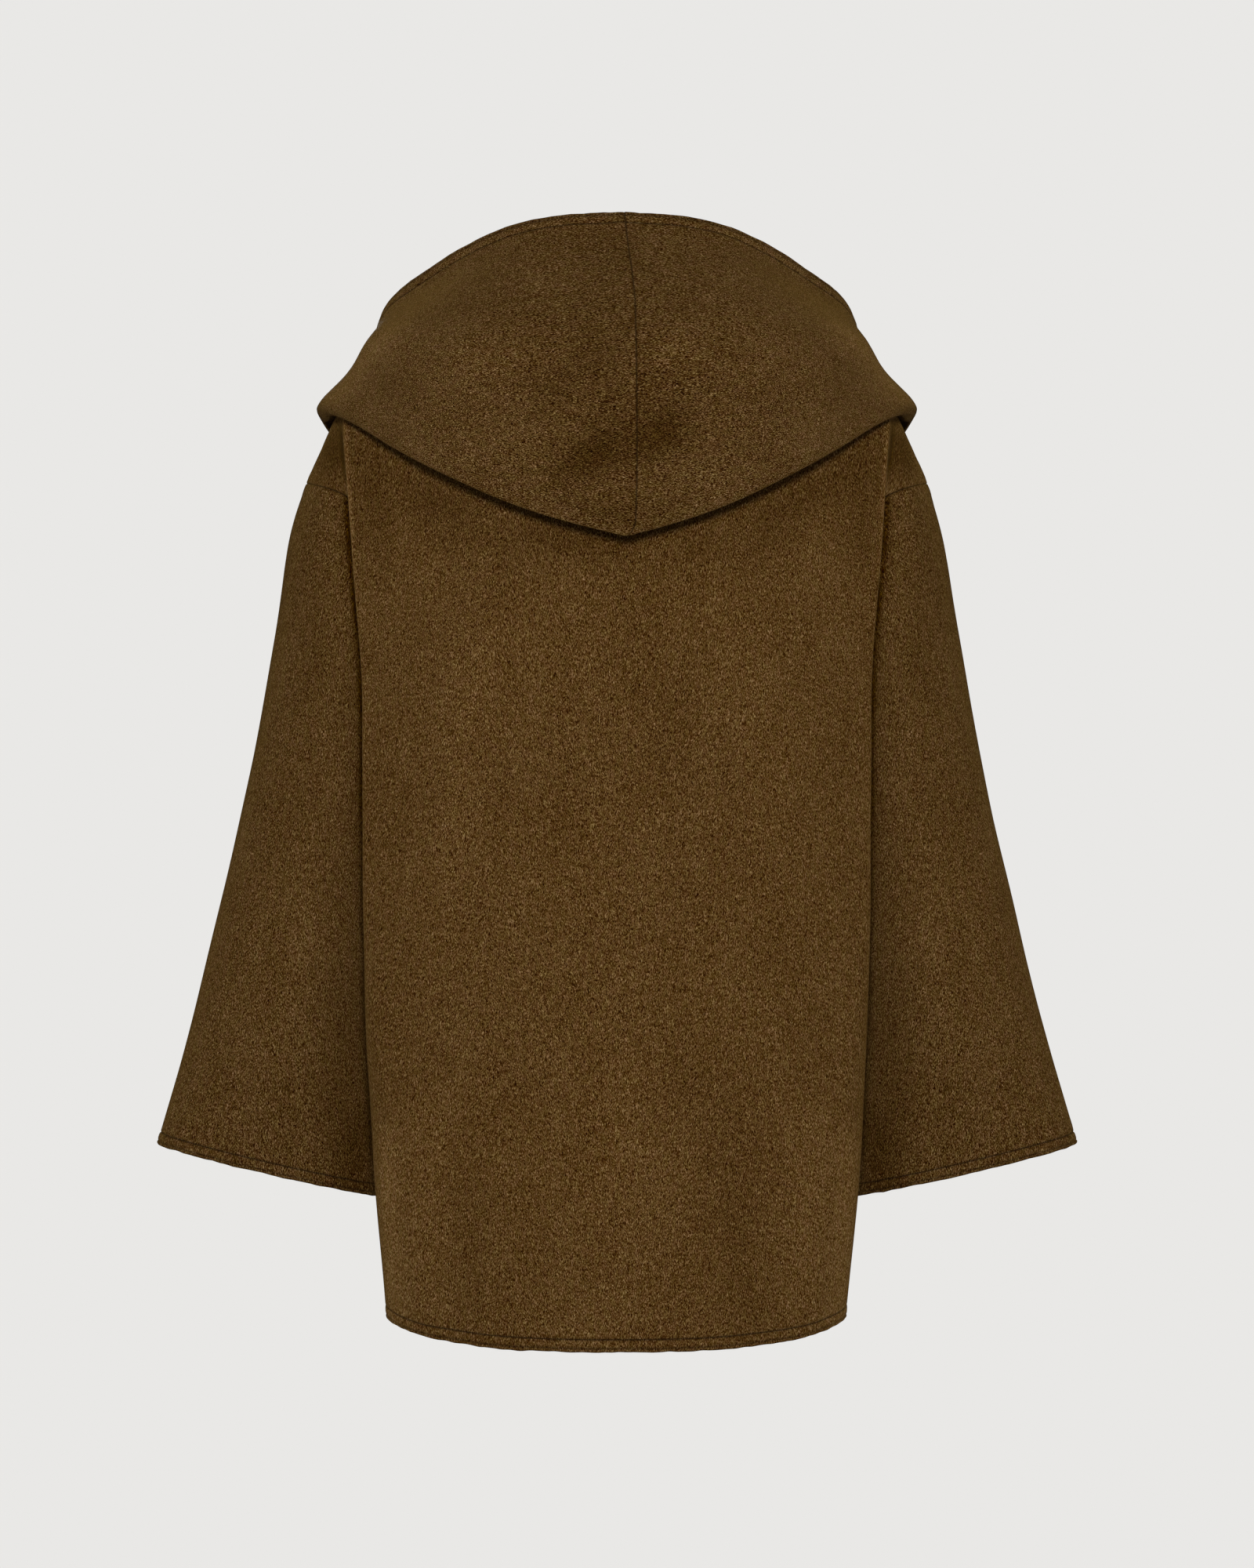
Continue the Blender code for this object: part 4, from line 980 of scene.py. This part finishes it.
def shaped(shell, creases, seed, swing):
    """Lays the relief on a shell: its outer and inner layers, how dark each point is made by flattened nap
    and painted shade at seams, stitches and edges, and its painted light and shade from the folds. creases
    are the folds' height and painted light and shade."""
    height, tone = creases
    edges, pressed_and_shaded = edge_relief(shell)
    seams, sunk = seam_relief(shell)
    free = eased(0.0, FOLDS_START, shell.to_seam)
    folds = height + swing * clouds(shell.grid, SWING_SIZE, seed)
    folds = free * folds + eased(0.0, MITRE_REACH, shell.to_seam) * puckers(shell, seed)
    own = np.minimum(0, edges) + np.minimum(0, seams)
    proud = np.maximum(0, edges) + np.maximum(0, seams)
    turned = 1 - eased(TURN_WIDTH, TURN_WIDTH + TURN_STEP, shell.to_free)
    thick = CLOTH + TURN_EXTRA * turned
    radius = thick / 2
    short = np.clip(radius - shell.to_free, 0, None)
    lip = radius - np.sqrt(np.clip(radius**2 - short**2, 0, None))
    middle = shell.grid + ragged(shell, seed + RAGGED_SEED)
    outer = middle + shell.normals * (folds + proud - lip)[..., None] + shell.through * own[..., None]
    inner = middle + shell.normals * (folds + lip)[..., None] - shell.through * (thick + own)[..., None]
    return outer, inner, np.clip(pressed_and_shaded + sunk, 0, 1), tone


def shell_piece(name, shell, layers, nap, wool, node):
    """A closed mesh of a shell's two layers, riding on the body in its solid's place."""
    outer, inner, pressed_and_shaded, tone = layers
    rows, columns = outer.shape[:2]
    count = rows * columns
    spots = np.arange(count).reshape(rows, columns)
    if shell.loop:
        spots = np.append(spots, spots[:, :1], axis=1)
    corners = (spots[:-1, :-1], spots[1:, :-1], spots[1:, 1:], spots[:-1, 1:])
    quads = np.stack(corners, axis=-1).reshape(-1, 4)
    rim = [(spots[0, :-1], spots[0, 1:]), (spots[-1, 1:], spots[-1, :-1])]
    if not shell.loop:
        rim += [(spots[1:, 0], spots[:-1, 0]), (spots[:-1, -1], spots[1:, -1])]
    strips = np.concatenate([np.stack([a, b, b + count, a + count], axis=-1) for a, b in rim])
    row, column = rows // 2, columns // 2
    down, over = outer[row + 1, column] - outer[row, column], outer[row, column + 1] - outer[row, column]
    if np.dot(np.cross(down, over), shell.normals[row, column]) < 0:
        quads, strips = quads[:, ::-1], strips[:, ::-1]
    faces = np.concatenate([quads, quads[:, ::-1] + count, strips])
    mesh = new_mesh(name, np.concatenate([outer.reshape(-1, 3), inner.reshape(-1, 3)]), faces.tolist())
    coordinates = np.concatenate([nap.reshape(-1, 3)] * 2)
    coordinates[count:] += INSIDE_SHIFT
    put_attribute(mesh, "nap", "FLOAT_VECTOR", coordinates)
    # How dark each point is made at seams, stitches and edges: flattened nap, with painted shade in the
    # grooves.
    put_attribute(mesh, "pressed_and_shaded", "FLOAT", np.concatenate([pressed_and_shaded.ravel()] * 2))
    # The folds' painted highlight and painted shade, in display levels.
    put_attribute(mesh, "brushed_nap_and_painted_light", "FLOAT", np.concatenate([tone.ravel()] * 2))
    mesh.set_sharp_from_angle(angle=math.radians(SHARP_DEGREES))
    piece = new_piece(name, mesh, wool)
    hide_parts(node)
    return piece


def new_mesh(name, points, faces):
    """A smooth-shaded mesh."""
    mesh = bpy.data.meshes.new(name)
    mesh.from_pydata(points.tolist(), [], faces)
    mesh.shade_smooth()
    return mesh


def put_attribute(mesh, name, kind, values):
    """Keeps a number or a vector at each point of a mesh."""
    attribute = mesh.attributes.new(name, kind, "POINT")
    field = "vector" if kind == "FLOAT_VECTOR" else "value"
    attribute.data.foreach_set(field, np.asarray(values, np.float32).ravel())


def new_piece(name, mesh, material):
    """An object of a mesh, in the scene and riding on the coat's one body."""
    mesh.materials.append(material)
    piece = bpy.data.objects.new(name, mesh)
    bpy.context.scene.collection.objects.link(piece)
    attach(piece, "root")
    return piece


# Stitches


def stitch_line(shell, layer, end):
    """The line of the stitches beside one end of a shell, a row for each of its points: the point
    itself, its normal, and how far it is from the shell's other ends."""
    axis = end // 2
    others = [shell.from_end[k] for k in range(4) if k != end and shell.ends[k] != "plain"]
    fields = [*np.moveaxis(layer, -1, 0), *np.moveaxis(shell.normals, -1, 0), *others]
    line = []
    for k in range(layer.shape[1 - axis]):
        far = np.take(shell.from_end[end], k, axis=1 - axis)
        order = np.argsort(far)
        values = [np.take(field, k, axis=1 - axis)[order] for field in fields]
        line.append([np.interp(STITCH_AT, far[order], value) for value in values])
    return np.array(line + line[:1] if shell.loop else line)


def stitch_rows(lines, seed):
    """Where stitches lie along lines: their middles, directions, normals and lengths."""
    chance = np.random.default_rng(seed)
    spots = []
    for line in lines:
        points, normals, clear = line[:, :3], unit(line[:, 3:6]), line[:, 6:].min(axis=1)
        length = lengths_along(points)
        at = np.arange(STITCH_PITCH / 2, length[-1], STITCH_PITCH)
        at = at + chance.uniform(-STITCH_JITTER, STITCH_JITTER, len(at)) * STITCH_PITCH
        at = at[np.interp(at, length, clear) > STITCH_ROOM]
        along = read_at(points, length, at + STITCH_LOOK) - read_at(points, length, at - STITCH_LOOK)
        sizes = STITCH_LENGTH * chance.uniform(*STITCH_LENGTHS, len(at))
        spots.append((read_at(points, length, at), unit(along), unit(read_at(normals, length, at)), sizes))
    return [np.concatenate([spot[k] for spot in spots]) for k in range(4)]


def stitches(name, lines, thread, seed):
    """A row of short threads, each sunk into the cloth at both its ends."""
    middle, along, outward, length = stitch_rows(lines, seed)
    aside = np.cross(along, outward)
    turns = np.arange(STITCH_SIDES) / STITCH_SIDES * 2 * math.pi
    rings = []
    for place, width in STITCH_PROFILE:
        sink = STITCH_SINK * (1 + STITCH_BEND * abs(place) ** 3)
        centre = middle + along * (length * place / 2)[:, None] - outward * sink
        for turn in turns:
            side = aside * math.cos(turn) + outward * math.sin(turn)
            rings.append(centre + side * width * STITCH_RADIUS)
    points = np.stack(rings, axis=1)
    count = len(STITCH_PROFILE) * STITCH_SIDES
    cell = []
    for ring in range(len(STITCH_PROFILE) - 1):
        for side in range(STITCH_SIDES):
            a, b = ring * STITCH_SIDES + side, ring * STITCH_SIDES + (side + 1) % STITCH_SIDES
            cell.append((a, a + STITCH_SIDES, b + STITCH_SIDES, b))
    faces = (np.arange(len(points)) * count)[:, None, None] + np.array(cell)[None]
    ends = [range(STITCH_SIDES), range(count - 1, count - 1 - STITCH_SIDES, -1)]
    caps = [[k * count + spot for spot in end] for k in range(len(points)) for end in ends]
    mesh = new_mesh(name, points.reshape(-1, 3), faces.reshape(-1, 4).tolist() + caps)
    return new_piece(name, mesh, thread)


# Materials


class Nodes:
    """A new material's nodes, added and joined by short calls."""

    def __init__(self, name):
        self.material = bpy.data.materials.new(name)
        self.material.use_nodes = True
        self.tree = self.material.node_tree
        self.shader = self.tree.nodes["Principled BSDF"]

    def add(self, kind, **settings):
        node = self.tree.nodes.new(kind)
        for key, value in settings.items():
            setattr(node, key, value)
        return node

    def join(self, value, socket):
        """Sets a socket to a value, or joins an output to it."""
        if isinstance(value, bpy.types.NodeSocket):
            self.tree.links.new(value, socket)
        else:
            socket.default_value = value

    def math(self, operation, *values):
        node = self.add("ShaderNodeMath", operation=operation)
        for value, socket in zip(values, node.inputs):
            self.join(value, socket)
        return node.outputs[0]

    def attribute(self, name, output):
        return self.add("ShaderNodeAttribute", attribute_name=name).outputs[output]

    def scaled(self, vector, sizes):
        """A vector in units of three sizes."""
        node = self.add("ShaderNodeMapping")
        self.join(vector, node.inputs["Vector"])
        node.inputs["Scale"].default_value = [1 / size for size in sizes]
        return node.outputs[0]

    def noise(self, vector, sizes, detail=2.0, roughness=0.55, output="Fac"):
        node = self.add("ShaderNodeTexNoise")
        self.join(self.scaled(vector, sizes), node.inputs["Vector"])
        node.inputs["Scale"].default_value = 1.0
        node.inputs["Detail"].default_value = detail
        node.inputs["Roughness"].default_value = roughness
        return node.outputs[output]

    def bent(self, vector, sizes, reach):
        """A vector pushed about by slow noise round its mean of 0.5, by up to half the reach each way."""
        push = self.add("ShaderNodeVectorMath", operation="SUBTRACT")
        self.join(self.noise(vector, sizes, output="Color"), push.inputs[0])
        push.inputs[1].default_value = (0.5, 0.5, 0.5)
        node = self.add("ShaderNodeVectorMath", operation="MULTIPLY_ADD")
        self.join(push.outputs[0], node.inputs[0])
        node.inputs[1].default_value = (reach, reach, reach)
        self.join(vector, node.inputs[2])
        return node.outputs[0]

    def ramp(self, value, stops):
        """A colour ramp through (place, colour) stops."""
        node = self.add("ShaderNodeValToRGB")
        self.join(value, node.inputs[0])
        elements = node.color_ramp.elements
        while len(elements) < len(stops):
            elements.new(0.5)
        for element, (place, colour) in zip(elements, stops):
            element.position = place
            element.color = (*colour, 1)
        return node.outputs[0]

    def toned(self, colour, levels):
        """A colour made lighter, or darker and warmer, by a number of display levels of painted light and
        shade.
        """
        factor = self.add("ShaderNodeVectorMath", operation="MULTIPLY_ADD")
        self.join(levels, factor.inputs[0])
        factor.inputs[1].default_value = PAINTED_LIGHT_STEP
        factor.inputs[2].default_value = (1, 1, 1)
        node = self.add("ShaderNodeVectorMath", operation="MULTIPLY")
        self.join(colour, node.inputs[0])
        self.join(factor.outputs[0], node.inputs[1])
        return node.outputs[0]

    def mixed(self, share, first, second, blend="MIX"):
        """Two colours mixed. Sockets 6 and 7 in, and 2 out, are the node's colours."""
        node = self.add("ShaderNodeMix", data_type="RGBA", blend_type=blend)
        self.join(share, node.inputs[0])
        self.join(first, node.inputs[6])
        self.join(second, node.inputs[7])
        return node.outputs[2]


def shifted(tone, levels):
    """A linear colour moved by a number of display levels out of 255, a little less in blue. The
    numbers are those of the sRGB curve."""
    tone = np.array(tone)
    shown = np.where(tone < 0.0031308, 12.92 * tone, 1.055 * tone ** (1 / 2.4) - 0.055)
    shown = np.clip(shown + levels / 255 * np.array(LEVELS_SHARE), 0, 1)
    return tuple(np.where(shown < 0.04045, shown / 12.92, ((shown + 0.055) / 1.055) ** 2.4).tolist())


def wool_material(name, tone, contrast=1.0, turn=0.0):
    """Napped wool: short fibres laid along the nap with dark gaps between them and paler tips, over
    slow changes of tone where the nap lies one way or the other. Over these come the soft folds' painted
    light and shade, and the darkening along seams, stitched lines and edges."""
    nodes = Nodes(name)
    nap = nodes.attribute("nap", "Vector")
    if turn:
        spin = nodes.add("ShaderNodeVectorRotate", rotation_type="Y_AXIS")
        nodes.join(nap, spin.inputs["Vector"])
        spin.inputs["Angle"].default_value = turn
        nap = spin.outputs[0]
    laid = nodes.bent(nap, BEND_SIZE, BEND)

    fibre = nodes.noise(laid, FIBRE_SIZE, detail=2.0, roughness=FIBRE_ROUGHNESS)
    tuft = nodes.noise(laid, TUFT_SIZE, detail=1.0)
    mottle = nodes.noise(nap, MOTTLE_SIZE, detail=1.0)
    # The cloth's own slow, random tone; the mesh attribute of the same name below holds the folds' painted
    # light and shade.
    brushed_nap_and_painted_light = nodes.noise(nap, BRUSHED_SIZE, detail=2.0)
    fine = nodes.math("MULTIPLY", fibre, 1 - TUFT_SHARE)
    depth = nodes.math("MULTIPLY_ADD", tuft, TUFT_SHARE, fine)
    slow = nodes.math("MULTIPLY", brushed_nap_and_painted_light, BRUSHED_SHARE)
    slow = nodes.math("MULTIPLY_ADD", mottle, MOTTLE_SHARE, slow)
    slow = nodes.math("ADD", slow, -(MOTTLE_SHARE + BRUSHED_SHARE) / 2)
    stops = [(place, shifted(tone, contrast * levels)) for place, levels in FIBRE_LEVELS]
    colour = nodes.ramp(nodes.math("ADD", depth, slow), stops)
    tint = nodes.ramp(nodes.noise(nap, HUE_SIZE, detail=2.0), HUE_TINTS)
    colour = nodes.mixed(1.0, colour, tint, "MULTIPLY")
    # Painted highlight and painted shade from the soft folds' table.
    colour = nodes.toned(colour, nodes.attribute("brushed_nap_and_painted_light", "Fac"))
    # Darkening at seams, stitched lines and edges: flattened nap, with painted shade in the grooves.
    pressed_and_shaded = nodes.attribute("pressed_and_shaded", "Fac")
    colour = nodes.mixed(nodes.math("MULTIPLY", pressed_and_shaded, PRESSED_AND_SHADED_DARK), colour, PRESSED_AND_SHADED_TONE)
    nodes.join(colour, nodes.shader.inputs["Base Color"])

    bumped = nodes.add("ShaderNodeBump")
    bumped.inputs["Strength"].default_value = BUMP_STRENGTH
    bumped.inputs["Distance"].default_value = BUMP_DISTANCE
    nodes.join(depth, bumped.inputs["Height"])
    nodes.join(bumped.outputs[0], nodes.shader.inputs["Normal"])
    nodes.shader.inputs["Roughness"].default_value = WOOL_ROUGHNESS
    nodes.shader.inputs["Specular IOR Level"].default_value = WOOL_SPECULAR
    nodes.shader.inputs["Sheen Weight"].default_value = WOOL_SHEEN
    nodes.shader.inputs["Sheen Roughness"].default_value = SHEEN_ROUGHNESS
    nodes.shader.inputs["Sheen Tint"].default_value = SHEEN_TINT
    return nodes.material


def thread_material():
    """Dark sewing thread."""
    nodes = Nodes("sewing_thread")
    place = nodes.add("ShaderNodeTexCoord").outputs["Object"]
    colour = nodes.ramp(nodes.noise(place, THREAD_TWIST), ((0.3, THREAD_DARK), (0.7, THREAD_PALE)))
    nodes.join(colour, nodes.shader.inputs["Base Color"])
    nodes.shader.inputs["Roughness"].default_value = THREAD_ROUGHNESS
    nodes.shader.inputs["Specular IOR Level"].default_value = THREAD_SPECULAR
    return nodes.material


def paper_material():
    """The studio's pale paper, which shows evenly from every side."""
    nodes = Nodes("pale_paper")
    nodes.shader.inputs["Base Color"].default_value = (0, 0, 0, 1)
    nodes.shader.inputs["Roughness"].default_value = 1.0
    nodes.shader.inputs["Specular IOR Level"].default_value = 0.0
    nodes.shader.inputs["Emission Color"].default_value = PAPER
    nodes.shader.inputs["Emission Strength"].default_value = 1.0
    return nodes.material


# Stage, light and camera


def stage():
    """A wide pale floor under the coat and a backdrop of the same paper all round. Both are seen but
    throw no light, which the lamps alone do."""
    paper = paper_material()
    turns = np.arange(FLOOR_SIDES) / FLOOR_SIDES * 2 * math.pi
    ring = [(FLOOR_RADIUS * math.cos(t), FLOOR_RADIUS * math.sin(t), FLOOR_Z) for t in turns]
    floor = bpy.data.meshes.new("floor")
    floor.from_pydata(ring, [], [list(range(FLOOR_SIDES))])
    backdrop = bpy.data.meshes.new("backdrop")
    shape = bmesh.new()
    rings = BACKDROP_SIDES // 2
    bmesh.ops.create_uvsphere(shape, u_segments=BACKDROP_SIDES, v_segments=rings, radius=BACKDROP_RADIUS)
    bmesh.ops.reverse_faces(shape, faces=shape.faces)
    shape.to_mesh(backdrop)
    shape.free()
    for mesh in (floor, backdrop):
        mesh.materials.append(paper)
        piece = bpy.data.objects.new(mesh.name, mesh)
        bpy.context.scene.collection.objects.link(piece)
        piece.visible_diffuse = False
        piece.visible_glossy = False
        piece.visible_shadow = False


def light(name, place, size, power):
    """A soft round light that points at the coat's middle."""
    lamp = bpy.data.lights.new(name, "AREA")
    lamp.shape = "DISK"
    lamp.size = size
    lamp.energy = power
    holder = bpy.data.objects.new(name, lamp)
    holder.location = place
    holder.rotation_euler = (Vector(LIT_POINT) - Vector(place)).to_track_quat("-Z", "Y").to_euler()
    bpy.context.scene.collection.objects.link(holder)


def studio():
    """Soft light, most of it from the camera's side and the front, with a little from all round."""
    world = bpy.context.scene.world or bpy.data.worlds.new("studio")
    bpy.context.scene.world = world
    world.use_nodes = True
    background = next(node for node in world.node_tree.nodes if node.type == "BACKGROUND")
    background.inputs["Color"].default_value = AMBIENT
    background.inputs["Strength"].default_value = 1.0
    for name, place, size, power in LIGHTS:
        light(name, place, size, power)
    bpy.context.scene.view_settings.view_transform = "Standard"
    bpy.context.scene.view_settings.look = "None"


def camera():
    """The camera straight behind the coat."""
    lens = bpy.data.cameras.new("camera")
    lens.sensor_fit = "VERTICAL"
    lens.sensor_height = CAMERA_SENSOR
    lens.lens = CAMERA_LENS
    lens.clip_end = CAMERA_CLIP
    holder = bpy.data.objects.new("camera", lens)
    holder.location = CAMERA_PLACE
    holder.rotation_euler = (math.pi / 2, 0, math.pi)
    bpy.context.scene.collection.objects.link(holder)
    bpy.context.scene.camera = holder


# The coat


def mirrored(grid):
    """A grid on the wearer's other side."""
    return grid * np.array([-1, 1, 1])


def flat_nap(shell, column=0):
    """The cloth's own coordinates on a panel, in metres: across from a column, and down."""
    across = shell.over - shell.over[:, column : column + 1]
    return np.stack([across, np.zeros_like(across), shell.down], axis=-1)


def laid_nap(shell, shift):
    """Coordinates for a nap that lies the same way over the whole piece, however the cloth turns."""
    return shell.grid + shift


def round_nap(shell):
    """The cloth's own coordinates on a tube, which close on themselves."""
    columns = shell.grid.shape[1]
    turn = np.arange(columns) / columns * 2 * math.pi + 0 * shell.down
    girth = np.linalg.norm(np.roll(shell.grid, -1, axis=1) - shell.grid, axis=-1).sum(axis=1).mean()
    radius = girth / (2 * math.pi)
    return np.stack([radius * np.cos(turn), radius * np.sin(turn), shell.down], axis=-1)


def outer_layer(shell):
    """How much each point of a hood's half belongs to the layer over its fold."""
    lowest = np.argmin(shell.grid[..., 2], axis=0)
    past = shell.down - shell.down[lowest, np.arange(len(lowest))]
    return eased(*OVER_FOLD, past)


def main():
    back, back_columns = half_panel(BACK, "back")
    front, front_columns = half_panel(FRONT, "front")
    sleeve = sleeve_grid()
    hood, drift = hood_grid(*neckline_from(back, back_columns, front, front_columns))
    whole_back = np.concatenate([mirrored(back)[:, :0:-1], back], axis=1)
    middle = BACK_GRID[1] // 2

    wools = {
        "body_wool": wool_material("body_wool", BODY_TONE),
        "sleeve_wool": wool_material("sleeve_wool", SLEEVE_SHADED_TONE, SLEEVE_CONTRAST),
        "hood_wool": wool_material("hood_wool", HOOD_SHADED_TONE, HOOD_CONTRAST, HOOD_NAP_TURN),
    }
    thread = thread_material()

    shell = Shell(whole_back, BACK_GRID, ("sewn", "free", "sewn", "sewn"))
    shells = {"back": shell.facing(middle, (0, 1, 0))}
    sides = (("left", np.asarray, 1, 2), ("right", mirrored, -1, 3))
    for side, flip, outwards, _ in sides:
        shell = Shell(flip(front), FRONT_GRID, ("sewn", "free", "free", "sewn"))
        shells[f"front_{side}"] = shell.facing(20, (0, -1, 0))
        shell = Shell(flip(sleeve), SLEEVE_GRID, ("sewn", "free", "plain", "plain"), loop=True)
        shells[f"sleeve_{side}"] = shell.facing(0, (outwards, 0, 0))
        shell = Shell(flip(hood) + drift, HOOD_GRID, ("sewn", "free", "sewn", "free"))
        shells[f"hood_{side}"] = shell.facing(5, (0, 1, 0))
    for name, shell in shells.items():
        shell.meet([other for key, other in shells.items() if key != name])

    def dressed(node, slot, creases, nap, ends, seeds, swing=SWING_HEIGHT, row="stitches"):
        """The cloth of a cut piece, and its stitches beside the ends given. The seeds are those of
        its relief and of its stitches."""
        layers = shaped(shells[node], creases, seeds[0], swing)
        piece = shell_piece(f"{node}_cloth", shells[node], layers, nap, wools[slot], node)
        lines = [stitch_line(shells[node], layers[0], end) for end in ends]
        return piece, stitches(f"{node}_{row}", lines, thread, seeds[1])

    shell = shells["back"]
    creases = crease_relief(shell.grid, BACK_CREASES + both_sides(BACK_PAIRS))
    nap = flat_nap(shell, middle)
    piece, seam = dressed("back", "body_wool", creases, nap, (1,), (1, 11), row="hem_stitches")

    for side, flip, _, seed in sides:
        node = f"front_{side}"
        shell = shells[node]
        creases = crease_relief(shell.grid, FRONT_CREASES)
        piece, seam = dressed(node, "body_wool", creases, flat_nap(shell), (1, 2), (seed, 20 + seed))

        node = f"sleeve_{side}"
        shell = shells[node]
        # The painted shadow beside the back's side fold.
        line = chained(SLEEVE_FOLD_SHADOW, SLEEVE_FOLD_SHADOW_WIDTH)
        creases = crease_relief(flip(shell.grid), SLEEVE_CREASES + line)
        seeds = (3 + seed, 30 + seed)
        piece, seam = dressed(node, "sleeve_wool", creases, round_nap(shell), (1,), seeds)

        node = f"hood_{side}"
        shell = shells[node]
        over = outer_layer(shell)
        creases = [over * laid for laid in crease_relief(shell.grid, HOOD_CREASES)]
        seeds = (6 + seed, 40 + seed)
        nap = laid_nap(shell, seed)
        piece, seam = dressed(node, "hood_wool", creases, nap, (1, 3), seeds, over * SWING_HEIGHT)

    stage()
    studio()
    camera()


main()
